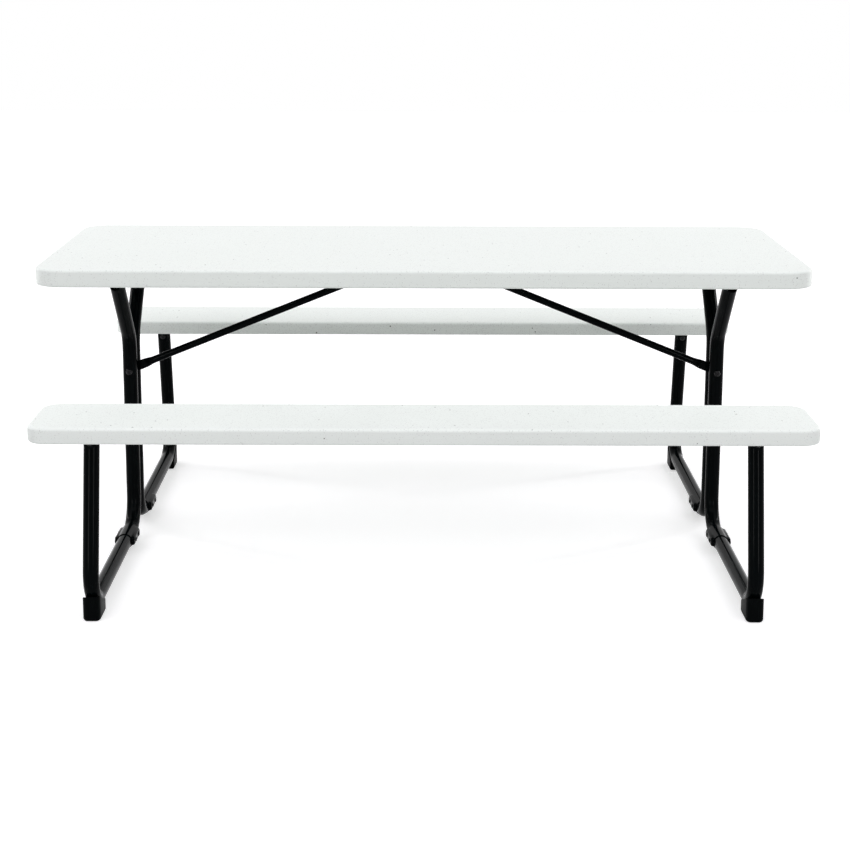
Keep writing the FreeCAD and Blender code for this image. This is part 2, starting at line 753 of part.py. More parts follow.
def brace(name):
    half = d.brace_flat_thickness / 2
    wide = d.brace_flat_width / 2
    near = d.brace_flat_length
    inner = near + d.brace_taper_length
    straps = [box(name + "_foot_strap", (ZERO, -half, -wide), (near, half, wide)),
              box(name + "_top_strap", (brace_length - near, -half, -wide), (brace_length, half, wide)),
              cylinder(name + "_foot_tip", "y", wide, half * 2, y=-half),
              cylinder(name + "_top_tip", "y", wide, half * 2, x=brace_length, y=-half)]
    tapers = [brace_taper(name + "_foot_taper", near, inner),
              brace_taper(name + "_top_taper", brace_length - near, brace_length - inner)]
    tube = cylinder(name + "_round", "x", d.brace_radius, brace_length - inner * 2, x=inner)
    bore = cylinder(name + "_bore", "x", d.brace_radius - d.brace_wall, brace_length - inner * 2, x=inner)
    bolt = cylinder(name + "_bolt_hole", "y", d.bolt_radius + d.running_clearance,
                    (half + d.overrun) * 2, y=-half - d.overrun)
    pin = cylinder(name + "_pin_hole", "y", d.brace_pin_radius + d.running_clearance,
                   (half + d.overrun) * 2, x=brace_length, y=-half - d.overrun)
    return cut(name, fuse(name + "_solid", [*straps, *tapers, tube]), [bore, bolt, pin])


for end, end_sign in ENDS.items():
    slope = -brace_slope if end == "left" else brace_slope - 180
    label = f"{end}_brace_tube"
    move(keep(label, brace(label)), signed(frame_reach, end_sign), ZERO, brace_height,
         Rotation(Vector(0, 1, 0), slope))
    keep(f"{end}_brace_pin", cylinder(f"{end}_keeper_pin", "y", d.brace_pin_radius, d.brace_pin_half * 2,
                                      signed(d.brace_top_reach, end_sign), -d.brace_pin_half,
                                      brace_top_height))


# Benches: a moulded seat, a bracket over each leg, its pivot bolt and screws

bench_screw_places = [signed(frame_reach, end) + signed(d.bracket_screw_reach, step)
                      for end in (-1, 1) for step in (-1, 1)]


def bench_bracket(name):
    """A channel with an ear in front of and behind the leg, drawn about the pivot."""
    drop = bench_under - pivot_height
    web_low = drop - d.bracket_plate
    outer = d.bracket_gap + d.bracket_plate
    solids = [box(name + "_web", (-d.bracket_web_half, -outer, web_low), (d.bracket_web_half, outer, drop))]
    for tag, low in (("front", -outer), ("rear", d.bracket_gap)):
        solids.append(box(f"{name}_{tag}_ear", (-d.bracket_ear_half, low, ZERO),
                          (d.bracket_ear_half, low + d.bracket_plate, web_low)))
        solids.append(cylinder(f"{name}_{tag}_eye", "y", d.bracket_ear_half, d.bracket_plate, y=low))
    pivot = cylinder(name + "_pivot", "y", d.bolt_radius + d.running_clearance,
                     (outer + d.overrun) * 2, y=-outer - d.overrun)
    holes = [cylinder(f"{name}_hole_{i}", "z", d.screw_radius + d.bolt_clearance, d.overrun * 2,
                      x=signed(d.bracket_screw_reach, step), z=web_low - d.overrun)
             for i, step in enumerate((-1, 1))]
    return cut(name, fuse(name + "_solid", solids), [pivot, *holes])


def pivot_bolt(name):
    """A bolt through both ears, with its head at the front and its nut behind."""
    outer = d.bracket_gap + d.bracket_plate
    head = cone(name + "_head", "y", d.bolt_head_crown, d.bolt_head_radius, d.bolt_head_height,
                y=-outer - d.bolt_head_height)
    shank = cylinder(name + "_shank", "y", d.bolt_radius, outer * 2 + d.nut_height, y=-outer)
    nut = doc.addObject("Part::Prism", name + "_nut")
    nut.Polygon = 6
    bind(nut, Circumradius=d.nut_radius, Height=d.nut_height)
    move(nut, y=outer, turn=TURN_TO["y"])
    return fuse(name, [head, shank, nut])


for side, side_sign in SIDES.items():
    bench_y = signed(bench_reach, side_sign)
    pivot_y = signed(pivot_reach, side_sign)
    points = [(x, signed(-d.pivot_inset, side_sign)) for x in bench_screw_places]
    seat = slab(f"{side}_bench", bench_length, d.bench_width, d.bench_edge, d.bench_corner,
                d.bench_recess, d.bench_lip, points)
    move(keep(f"{side}_bench_seat", seat), ZERO, bench_y, d.bench_height - d.bench_edge)
    for end, end_sign in ENDS.items():
        label = f"{side}_bench_{end}_bracket"
        frame_x = signed(frame_reach, end_sign)
        move(keep(label, bench_bracket(label)), frame_x, pivot_y, pivot_height)
        bolt_name = f"{side}_bench_{end}_pivot_bolt"
        move(keep(bolt_name, pivot_bolt(bolt_name)), frame_x, pivot_y, pivot_height)
    screws = [screw(f"{side}_bench_screw_{i}", x, pivot_y, bench_under - d.bracket_plate)
              for i, x in enumerate(bench_screw_places)]
    keep(f"{side}_bench_screws", group(f"{side}_bench_screw_set", screws))


doc.recompute()
for item in doc.Objects:
    if "Invalid" in item.State or "Error" in item.State:
        raise RuntimeError(f"{item.Label} failed: {item.State}")
os.makedirs("parts", exist_ok=True)
for name, item in nodes.items():
    shape = item.Shape
    if shape.isNull() or not shape.isValid():
        raise RuntimeError(f"{name} has no valid shape")
    shape.exportStep(f"parts/{name}.step")
    box_found = shape.BoundBox
    print(f"{name}: {len(shape.Solids)} solids, {shape.Volume / 1000.0:.1f} ml, "
          f"x {box_found.XMin:.1f} {box_found.XMax:.1f}, y {box_found.YMin:.1f} {box_found.YMax:.1f}, "
          f"z {box_found.ZMin:.1f} {box_found.ZMax:.1f}")
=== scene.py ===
import math

import bmesh
import bpy
from mathutils import Matrix, Vector


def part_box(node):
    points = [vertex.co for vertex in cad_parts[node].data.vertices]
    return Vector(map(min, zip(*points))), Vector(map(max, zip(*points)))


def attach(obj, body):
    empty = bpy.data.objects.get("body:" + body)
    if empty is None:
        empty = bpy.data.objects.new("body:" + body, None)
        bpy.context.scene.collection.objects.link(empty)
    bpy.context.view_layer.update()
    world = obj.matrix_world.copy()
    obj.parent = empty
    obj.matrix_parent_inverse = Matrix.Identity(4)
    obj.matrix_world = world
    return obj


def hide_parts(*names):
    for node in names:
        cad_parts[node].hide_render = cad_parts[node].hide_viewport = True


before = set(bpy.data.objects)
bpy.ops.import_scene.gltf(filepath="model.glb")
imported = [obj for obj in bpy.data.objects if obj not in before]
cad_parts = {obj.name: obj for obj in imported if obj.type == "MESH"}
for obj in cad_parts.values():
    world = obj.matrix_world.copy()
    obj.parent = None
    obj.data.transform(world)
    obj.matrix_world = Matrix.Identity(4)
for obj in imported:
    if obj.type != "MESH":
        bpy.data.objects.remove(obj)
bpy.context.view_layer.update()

# A picnic table with a speckled moulded top and benches on black tube end frames.
# Lengths are in metres. Places come from the CAD frame, small forms from the sizes below.

ENDS = ("left", "right")
SIDES = ("front", "rear")
SIDE_SIGN = {"front": -1, "rear": 1}
MM = 0.001

# Moulded boards
TABLE_CORNER = 70 * MM
TABLE_LIP = 22 * MM
TABLE_RECESS = 12 * MM
BENCH_CORNER = 45 * MM
BENCH_LIP = 18 * MM
BENCH_RECESS = 4 * MM
EDGE_TOP_ROUND = 7 * MM
EDGE_LOW_ROUND = 5 * MM
LIP_ROUND = 2 * MM
EDGE_HOLD = 1.2 * MM
SEAM_PROUD = 0.12 * MM
SEAM_HALF = 0.8 * MM
DIMPLE_MOUTH = 19 * MM
DIMPLE_FLOOR = 9 * MM
DIMPLE_SKIN = 7 * MM
DIMPLE_PITCH = 118 * MM
DIMPLE_MARGIN = 8 * MM
DIMPLE_EDGE_SHARE = 0.35
DIMPLE_SIDES = 20
DIMPLE_LIP_SHARES = ((0, 0), (0.6, 0.4), (1.6, 1))
SEAM_SHARE = 0.42

# Tubes
TUBE_RADIUS = 18 * MM
TUBE_WALL = 1.5 * MM
TUBE_SIDES = 48
SPLAY_RISE = 165 * MM
ARM_SPREAD = 194 * MM
SPLAY_BEND = 80 * MM
BASE_BEND = 75 * MM
FOOT_BEND = 70 * MM
LEG_SPLAY = 83 * MM
LEG_OVERRUN = 11 * MM
JOINT_GAP = 0.6 * MM
HINGE_BAR_WALL = 2.5 * MM
WELD_RADIUS = 2.2 * MM
WELD_SIDES = 10
WELD_STEPS = 14
WELD_START = 1.06 * math.pi
WELD_SWEEP = 0.88 * math.pi
HINGE_BAR_SIDES = 40

# Braces
BRACE_RADIUS = 9 * MM
STRAP_HALF_THICK = 2 * MM
STRAP_HALF_WIDE = 12 * MM
STRAP_LENGTH = 34 * MM
TAPER_LENGTH = 30 * MM

# Fasteners
BOLT_RADIUS = 4 * MM
BOLT_HEAD_RADIUS = 8 * MM
BOLT_HEAD_HEIGHT = 5 * MM
NUT_RADIUS = 7.5 * MM
NUT_HEIGHT = 6.5 * MM
SCREW_HEAD_RADIUS = 5.5 * MM
SCREW_HEAD_HEIGHT = 2.5 * MM
SOCKET_HEAD_RADIUS = 6 * MM
SOCKET_HEAD_HEIGHT = 2.4 * MM
DRIVE_RADIUS = 2.6 * MM
SCREW_DRIVE_RADIUS = 0.8 * DRIVE_RADIUS
DRIVE_RIM_SHARE = 1.25
DRIVE_FLOOR_SHARE = 0.96
DRIVE_LEVEL_SHARE = 0.45
HEAD_RIM_SHARE = 0.3
DOME_TURNS = (30, 50, 65)
DOME_FULLNESS = 0.8
HEAD_SIDES = 36
SHANK_SIDES = 24
EDGE_BREAK = 0.6 * MM

# Sides of a step of a turned piece, where 0 is a circle
ROUND = 0
HEX = 6


def middle(node):
    """The middle of a CAD node's box."""
    low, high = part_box(node)
    return (low + high) / 2


def extent(node):
    """The size of a CAD node's box."""
    low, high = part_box(node)
    return high - low


END_X = {end: middle(f"{end}_hinge_bar").x for end in ENDS}
HINGE_Z = middle("left_hinge_bar").z
BASE_Z = middle("left_rear_socket").z
JOINT_Y = middle("left_rear_socket").y
UPRIGHT_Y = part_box("left_rear_upright")[0].y + TUBE_RADIUS
BOLT_Z = middle("left_cross_nut").z
PIVOT_Y = middle("rear_bench_left_bracket").y
PIVOT_Z = middle("rear_bench_left_pivot_bolt").z
SPLAY_Z = HINGE_Z - SPLAY_RISE
FOOT_Y = PIVOT_Y + LEG_SPLAY

# The coated tubes and plates, on which the glint strips in front draw highlights
COATED_TUBES = bpy.data.collections.new("coated_tubes")


# Mesh helpers

def finished(name, bm, material, body, slot, *nodes, sharp=35):
    """Turn a bmesh into a smooth piece that rides on a body and stands for CAD nodes."""
    bmesh.ops.recalc_face_normals(bm, faces=bm.faces)
    mesh = bpy.data.meshes.new(name)
    bm.to_mesh(mesh)
    bm.free()
    return finished_mesh(name, mesh, material, body, slot, *nodes, sharp=sharp)


def finished_mesh(name, mesh, material, body, slot, *nodes, sharp=35):
    """Give a plain mesh its finish, its body and the CAD nodes that it stands for."""
    mesh.name = name
    mesh.shade_smooth()
    mesh.set_sharp_from_angle(angle=math.radians(sharp))
    mesh.materials.clear()
    mesh.materials.append(material)
    piece = bpy.data.objects.new(name, mesh)
    bpy.context.scene.collection.objects.link(piece)
    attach(piece, body)
    if nodes:
        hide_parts(*nodes)
    if material is POWDER_COAT:
        COATED_TUBES.objects.link(piece)
    return piece


def loft(bm, rings, cap_start=False, cap_end=False):
    """Skin a row of closed point rings of equal count, each ring joined to the next."""
    rows = [[bm.verts.new(point) for point in ring] for ring in rings]
    for low, high in zip(rows[:-1], rows[1:]):
        count = len(low)
        for i in range(count):
            j = (i + 1) % count
            bm.faces.new((low[i], low[j], high[j], high[i]))
    if cap_start:
        bm.faces.new(rows[0])
    if cap_end:
        bm.faces.new(rows[-1])
    return rows


def rounded_rectangle(half_x, half_y, corner, steps=14):
    """Points round a rectangle whose corners are arcs, anticlockwise from the right."""
    points = []
    for quarter, (sx, sy) in enumerate(((1, 1), (-1, 1), (-1, -1), (1, -1))):
        for step in range(steps + 1):
            angle = math.pi / 2 * (quarter + step / steps)
            points.append((sx * (half_x - corner) + corner * math.cos(angle),
                           sy * (half_y - corner) + corner * math.sin(angle)))
    return points


def quarter_round(radius, steps=6):
    """Pairs of (inset, drop) that turn from a level face to an upright one."""
    pairs = []
    for step in range(steps + 1):
        angle = math.pi / 2 * step / steps
        pairs.append((radius * (1 - math.sin(angle)), radius * (1 - math.cos(angle))))
    return pairs


def ring_radius(angle, radius, sides):
    """Distance from the axis to a round, or to a polygon with that corner radius."""
    if not sides:
        return radius
    sector = 2 * math.pi / sides
    return radius * math.cos(sector / 2) / math.cos(angle % sector - sector / 2)


AXIS_TURN = {
    "x": Matrix.Rotation(math.pi / 2, 4, "Y"),
    "y": Matrix.Rotation(-math.pi / 2, 4, "X"),
    "-y": Matrix.Rotation(math.pi / 2, 4, "X"),
    "-x": Matrix.Rotation(-math.pi / 2, 4, "Y"),
    "z": Matrix.Identity(4),
    "-z": Matrix.Rotation(math.pi, 4, "X"),
}


def turned(bm, place, axis, steps, hollow=False, count=HEAD_SIDES):
    """A turned piece: steps of (along, radius, sides) from one end of the axis to the other."""
    turn = AXIS_TURN[axis] if isinstance(axis, str) else axis
    matrix = Matrix.Translation(place) @ turn
    rings = []
    for along, radius, sides in steps:
        ring = []
        for i in range(count):
            angle = 2 * math.pi * i / count
            reach = ring_radius(angle, radius, sides)
            ring.append(matrix @ Vector((reach * math.cos(angle), reach * math.sin(angle), along)))
        rings.append(ring)
    if hollow:
        rows = loft(bm, rings)
        for i in range(count):
            j = (i + 1) % count
            bm.faces.new((rows[-1][i], rows[-1][j], rows[0][j], rows[0][i]))
        return
    loft(bm, rings, cap_start=True, cap_end=True)


def domed_head(radius, height, drive=DRIVE_RADIUS):
    """Steps of a low domed head with a six-sided drive, from its seat outwards."""
    rim = height * HEAD_RIM_SHARE
    steps = [(0, radius, ROUND), (rim, radius, ROUND)]
    for turn in DOME_TURNS:
        angle = math.radians(turn)
        level = rim + (height - rim) * math.sin(angle)
        steps.append((level, radius * math.cos(angle) ** DOME_FULLNESS, ROUND))
    steps.append((height, drive * DRIVE_RIM_SHARE, ROUND))
    steps.append((height, drive, HEX))
    steps.append((height * DRIVE_LEVEL_SHARE, drive * DRIVE_FLOOR_SHARE, HEX))
    return steps


def hollow_tube_steps(length, radius, wall):
    """Steps round the wall of an open tube with broken edges."""
    bore = radius - wall
    ease = min(EDGE_BREAK, wall / 3)
    corners = [(0, radius - ease), (ease, radius), (length - ease, radius), (length, radius - ease),
               (length, bore + ease), (length - ease, bore), (ease, bore), (0, bore + ease)]
    return [(along, reach, ROUND) for along, reach in corners]


# Tubes drawn along a path with Geometry Nodes

def tube_group():
    """Rounds a path at its corners and sweeps a circle along it."""
    group = bpy.data.node_groups.new("tube_along_path", "GeometryNodeTree")
    sockets = group.interface
    sockets.new_socket("Path", in_out="INPUT", socket_type="NodeSocketGeometry")
    sockets.new_socket("Radius", in_out="INPUT", socket_type="NodeSocketFloat")
    sockets.new_socket("Sides", in_out="INPUT", socket_type="NodeSocketInt")
    sockets.new_socket("Bend steps", in_out="INPUT", socket_type="NodeSocketInt")
    sockets.new_socket("Material", in_out="INPUT", socket_type="NodeSocketMaterial")
    sockets.new_socket("Tube", in_out="OUTPUT", socket_type="NodeSocketGeometry")
    given = group.nodes.new("NodeGroupInput")
    result = group.nodes.new("NodeGroupOutput")
    bend_radius = group.nodes.new("GeometryNodeInputRadius")
    fillet = group.nodes.new("GeometryNodeFilletCurve")
    fillet.mode = "POLY"
    even = group.nodes.new("GeometryNodeSetCurveRadius")
    even.inputs["Radius"].default_value = 1.0
    circle = group.nodes.new("GeometryNodeCurvePrimitiveCircle")
    sweep = group.nodes.new("GeometryNodeCurveToMesh")
    sweep.inputs["Fill Caps"].default_value = True
    paint = group.nodes.new("GeometryNodeSetMaterial")
    link = group.links.new
    link(given.outputs["Path"], fillet.inputs["Curve"])
    link(given.outputs["Bend steps"], fillet.inputs["Count"])
    link(bend_radius.outputs["Radius"], fillet.inputs["Radius"])
    link(fillet.outputs["Curve"], even.inputs["Curve"])
    link(given.outputs["Radius"], circle.inputs["Radius"])
    link(given.outputs["Sides"], circle.inputs["Resolution"])
    link(even.outputs["Curve"], sweep.inputs["Curve"])
    link(circle.outputs["Curve"], sweep.inputs["Profile Curve"])
    link(sweep.outputs["Mesh"], paint.inputs["Geometry"])
    link(given.outputs["Material"], paint.inputs["Material"])
    link(paint.outputs["Geometry"], result.inputs["Tube"])
    return group


def instance_group():
    """Puts one copy of a piece on every point of a mesh."""
    group = bpy.data.node_groups.new("copies_on_points", "GeometryNodeTree")
    sockets = group.interface
    sockets.new_socket("Points", in_out="INPUT", socket_type="NodeSocketGeometry")
    sockets.new_socket("Piece", in_out="INPUT", socket_type="NodeSocketObject")
    sockets.new_socket("Material", in_out="INPUT", socket_type="NodeSocketMaterial")
    sockets.new_socket("Copies", in_out="OUTPUT", socket_type="NodeSocketGeometry")
    given = group.nodes.new("NodeGroupInput")
    result = group.nodes.new("NodeGroupOutput")
    piece = group.nodes.new("GeometryNodeObjectInfo")
    spread = group.nodes.new("GeometryNodeInstanceOnPoints")
    real = group.nodes.new("GeometryNodeRealizeInstances")
    paint = group.nodes.new("GeometryNodeSetMaterial")
    link = group.links.new
    link(given.outputs["Points"], spread.inputs["Points"])
    link(given.outputs["Piece"], piece.inputs["Object"])
    link(piece.outputs["Geometry"], spread.inputs["Instance"])
    link(spread.outputs["Instances"], real.inputs["Geometry"])
    link(real.outputs["Geometry"], paint.inputs["Geometry"])
    link(given.outputs["Material"], paint.inputs["Material"])
    link(paint.outputs["Geometry"], result.inputs["Copies"])
    return group


def run_nodes(carrier, group, values):
    """Run a node group on an object and return the plain mesh it makes."""
    bpy.context.scene.collection.objects.link(carrier)
    modifier = carrier.modifiers.new("shape", "NODES")
    modifier.node_group = group
    identifiers = {item.name: item.identifier for item in group.interface.items_tree
                   if item.item_type == "SOCKET" and item.in_out == "INPUT"}
    for label, value in values.items():
        modifier[identifiers[label]] = value
    carrier.update_tag()
    bpy.context.view_layer.update()
    shown = carrier.evaluated_get(bpy.context.evaluated_depsgraph_get())
    mesh = bpy.data.meshes.new_from_object(shown)
    carrier.modifiers.remove(modifier)
    bpy.data.objects.remove(carrier)
    return mesh


def swept_tube(name, points, bends, radius, material, sides=TUBE_SIDES, bend_steps=16):
    """A tube along straight runs between points, rounded by a bend radius at each point."""
    curve = bpy.data.curves.new(name + "_path", "CURVE")
    curve.dimensions = "3D"
    run = curve.splines.new("POLY")
    run.points.add(len(points) - 1)
    for point, place, bend in zip(run.points, points, bends):
        point.co = (*place, 1.0)
        point.radius = bend
    values = {"Radius": radius, "Sides": sides, "Bend steps": bend_steps, "Material": material}
    return run_nodes(bpy.data.objects.new(name + "_path", curve), TUBE_NODES, values)


def copies(template, places, material):
    """One plain mesh with a copy of the template at each place."""
    points = bpy.data.meshes.new("places")
    points.from_pydata([tuple(place) for place in places], [], [])
    values = {"Piece": template, "Material": material}
    return run_nodes(bpy.data.objects.new("places", points), INSTANCE_NODES, values)


TUBE_NODES = tube_group()
INSTANCE_NODES = instance_group()


# Shared shader effects, as node groups that hand on masks and normals

GRAIN_DEPTH = 0.4 * MM
PATCH_DETAIL = 4.0
PATCH_LOW = 0.3
PATCH_HIGH = 0.7


def shader_group(name, inputs, outputs):
    """An empty group with named numbers going in, and its two end nodes."""
    group = bpy.data.node_groups.new(name, "ShaderNodeTree")
    for label, value in inputs.items():
        socket = group.interface.new_socket(label, in_out="INPUT", socket_type="NodeSocketFloat")
        socket.default_value = value
    for label, kind in outputs.items():
        group.interface.new_socket(label, in_out="OUTPUT", socket_type=kind)
    return group, group.nodes.new("NodeGroupInput"), group.nodes.new("NodeGroupOutput")


def maths(tree, operation, first, second=None):
    """A maths node; numbers set its own sockets and sockets are linked to it."""
    node = tree.nodes.new("ShaderNodeMath")
    node.operation = operation
    for socket, value in zip(node.inputs, (first, second)):
        if isinstance(value, (int, float)):
            socket.default_value = value
        elif value is not None:
            tree.links.new(value, socket)
    return node.outputs[0]


def object_place(tree):
    """The place on the piece, which a pattern follows."""
    return tree.nodes.new("ShaderNodeTexCoord").outputs["Object"]


def speckle_group():
    """Round flecks of uneven size, in a share of the cells."""
    group, given, result = shader_group(
        "flecks", {"Cells per metre": 300.0, "Share": 0.2, "Fleck size": 0.4},
        {"Mask": "NodeSocketFloat"})
    cells = group.nodes.new("ShaderNodeTexVoronoi")
    group.links.new(object_place(group), cells.inputs["Vector"])
    group.links.new(given.outputs["Cells per metre"], cells.inputs["Scale"])
    pick = group.nodes.new("ShaderNodeSeparateColor")
    group.links.new(cells.outputs["Color"], pick.inputs["Color"])
    chosen = maths(group, "LESS_THAN", pick.outputs["Red"], given.outputs["Share"])
    size = maths(group, "MULTIPLY", given.outputs["Fleck size"], pick.outputs["Green"])
    near = maths(group, "LESS_THAN", cells.outputs["Distance"], size)
    group.links.new(maths(group, "MULTIPLY", chosen, near), result.inputs["Mask"])
    return group


def grain_group():
    """A fine surface grain as a normal, with a slow variation as a mask."""
    group, given, result = shader_group(
        "grain", {"Grains per metre": 700.0, "Height": 0.1, "Patches per metre": 6.0},
        {"Normal": "NodeSocketVector", "Patches": "NodeSocketFloat"})
    place = object_place(group)
    fine = group.nodes.new("ShaderNodeTexNoise")
    slow = group.nodes.new("ShaderNodeTexNoise")
    slow.inputs["Detail"].default_value = PATCH_DETAIL
    bump = group.nodes.new("ShaderNodeBump")
    bump.inputs["Distance"].default_value = GRAIN_DEPTH
    for texture, rate in ((fine, "Grains per metre"), (slow, "Patches per metre")):
        group.links.new(place, texture.inputs["Vector"])
        group.links.new(given.outputs[rate], texture.inputs["Scale"])
    group.links.new(fine.outputs["Fac"], bump.inputs["Height"])
    group.links.new(given.outputs["Height"], bump.inputs["Strength"])
    group.links.new(bump.outputs["Normal"], result.inputs["Normal"])
    group.links.new(slow.outputs["Fac"], result.inputs["Patches"])
    return group


def use_group(tree, group, **values):
    """Place a shared effect in a material, with this material's values."""
    node = tree.nodes.new("ShaderNodeGroup")
    node.node_tree = group
    for label, value in values.items():
        node.inputs[label.replace("_", " ")].default_value = value
    return node


def mixed(tree, factor, first, second):
    """A colour mix whose ends are colours or sockets."""
    node = tree.nodes.new("ShaderNodeMix")
    node.data_type = "RGBA"
    tree.links.new(factor, node.inputs["Factor"])
    for label, value in (("A", first), ("B", second)):
        socket = [item for item in node.inputs if item.name == label and item.type == "RGBA"][0]
        if isinstance(value, tuple):
            socket.default_value = (*value, 1.0)
        else:
            tree.links.new(value, socket)
    return [item for item in node.outputs if item.type == "RGBA"][0]


def spread_over(tree, value, low, high):
    """Spread a mask, most of which lies near its middle, from a low to a high value."""
    node = tree.nodes.new("ShaderNodeMapRange")
    node.inputs["From Min"].default_value = PATCH_LOW
    node.inputs["From Max"].default_value = PATCH_HIGH
    node.inputs["To Min"].default_value = low
    node.inputs["To Max"].default_value = high
    tree.links.new(value, node.inputs["Value"])
    return node.outputs["Result"]


def new_material(name):
    """A material with its node tree and its shader."""
    material = bpy.data.materials.new(name)
    material.use_nodes = True
    return material, material.node_tree, material.node_tree.nodes["Principled BSDF"]


FLECKS = speckle_group()
GRAIN = grain_group()


PALE_GROUND = (0.785, 0.832, 0.79)
PALER_PATCH = (0.82, 0.865, 0.825)
GREY_FLECK = (0.63, 0.66, 0.63)
DARK_FLECK = (0.14, 0.15, 0.14)
MOULDING_ROUGH = (0.46, 0.56)
MOULDING_GLOSS = 0.35
MOULDING_GLOW = 0.08
GLOW_DEPTH = 4 * MM


def speckled_moulding():
    """Off-white moulded plastic with fine grey flecks, a few dark ones and a pebbled skin."""
    material, tree, shader = new_material("speckled_moulding")
    grain = use_group(tree, GRAIN, Grains_per_metre=420.0, Height=0.12, Patches_per_metre=5.0)
    fine = use_group(tree, FLECKS, Cells_per_metre=430.0, Share=0.32, Fleck_size=0.55)
    dark = use_group(tree, FLECKS, Cells_per_metre=120.0, Share=0.04, Fleck_size=0.26)
    ground = mixed(tree, grain.outputs["Patches"], PALE_GROUND, PALER_PATCH)
    flecked = mixed(tree, fine.outputs["Mask"], ground, GREY_FLECK)
    colour = mixed(tree, dark.outputs["Mask"], flecked, DARK_FLECK)
    rough = spread_over(tree, grain.outputs["Patches"], *MOULDING_ROUGH)
    tree.links.new(colour, shader.inputs["Base Color"])
    tree.links.new(rough, shader.inputs["Roughness"])
    tree.links.new(grain.outputs["Normal"], shader.inputs["Normal"])
    shader.inputs["Specular IOR Level"].default_value = MOULDING_GLOSS
    shader.inputs["Subsurface Weight"].default_value = MOULDING_GLOW
    shader.inputs["Subsurface Radius"].default_value = (GLOW_DEPTH, GLOW_DEPTH, GLOW_DEPTH)
    return material


def plain_finish(name, ground, patch, rough, gloss, grains, height, metallic=0.0):
    """A plain finish with patches of another shade, uneven roughness and a fine grain."""
    material, tree, shader = new_material(name)
    grain = use_group(tree, GRAIN, Grains_per_metre=grains, Height=height, Patches_per_metre=9.0)
    colour = mixed(tree, grain.outputs["Patches"], ground, patch)
    tree.links.new(colour, shader.inputs["Base Color"])
    tree.links.new(spread_over(tree, grain.outputs["Patches"], *rough), shader.inputs["Roughness"])
    tree.links.new(grain.outputs["Normal"], shader.inputs["Normal"])
    shader.inputs["Specular IOR Level"].default_value = gloss
    shader.inputs["Metallic"].default_value = metallic
    return material


MOULDING = speckled_moulding()
POWDER_COAT = plain_finish(
    "black_powder_coat", ground=(0.0007, 0.0014, 0.0017), patch=(0.0014, 0.0025, 0.0028),
    rough=(0.10, 0.15), gloss=0.02, grains=520.0, height=0.012)
BLACK_PLASTIC = plain_finish(
    "moulded_black_plastic", ground=(0.0006, 0.0010, 0.0012), patch=(0.0014, 0.0020, 0.0022),
    rough=(0.38, 0.50), gloss=0.02, grains=900.0, height=0.15)
BLACKENED = plain_finish(
    "blackened_steel", ground=(0.004, 0.004, 0.0045), patch=(0.010, 0.010, 0.011),
    rough=(0.14, 0.24), gloss=0.2, grains=1500.0, height=0.04, metallic=0.4)
ZINC = plain_finish(
    "zinc_plated_steel", ground=(0.42, 0.43, 0.44), patch=(0.55, 0.56, 0.56),
    rough=(0.28, 0.45), gloss=0.5, grains=1200.0, height=0.10, metallic=1.0)


# Moulded boards

def near_flange(x, y, flanges):
    """True where a dimple at this place would run under a screwed-on flange."""
    reach = DIMPLE_MOUTH + DIMPLE_MARGIN
    return any(low.x - reach < x < high.x + reach and low.y - reach < y < high.y + reach
               for low, high in flanges)


def dimple_places(low, high, lip, flanges):
    """A grid of places under a board, clear of its lip and of what is screwed to it."""
    middle_place = (low + high) / 2
    edge = lip + DIMPLE_PITCH * DIMPLE_EDGE_SHARE
    room = (high - low) / 2 - Vector((edge, edge, 0))
    columns = int(2 * room.x / DIMPLE_PITCH) + 1
    rows = max(2, int(2 * room.y / DIMPLE_PITCH) + 1)
    row_pitch = min(DIMPLE_PITCH, 2 * room.y / (rows - 1))
    places = []
    for column in range(columns):
        for row in range(rows):
            x = middle_place.x + (column - (columns - 1) / 2) * DIMPLE_PITCH
            y = middle_place.y + (row - (rows - 1) / 2) * row_pitch
            if not near_flange(x, y, flanges):
                places.append((x, y))
    return places


def dimple_rings(x, y, under, depth):
    """Rings of a tapered dimple, from its softened mouth to its floor."""
    steps = [(under + LIP_ROUND * rise, DIMPLE_MOUTH - LIP_ROUND * inset)
             for rise, inset in DIMPLE_LIP_SHARES]
    steps += [(depth - LIP_ROUND, DIMPLE_FLOOR + LIP_ROUND), (depth, DIMPLE_FLOOR)]
    angles = [2 * math.pi * i / DIMPLE_SIDES for i in range(DIMPLE_SIDES)]
    return [[Vector((x + radius * math.cos(angle), y + radius * math.sin(angle), z)) for angle in angles]
            for z, radius in steps]


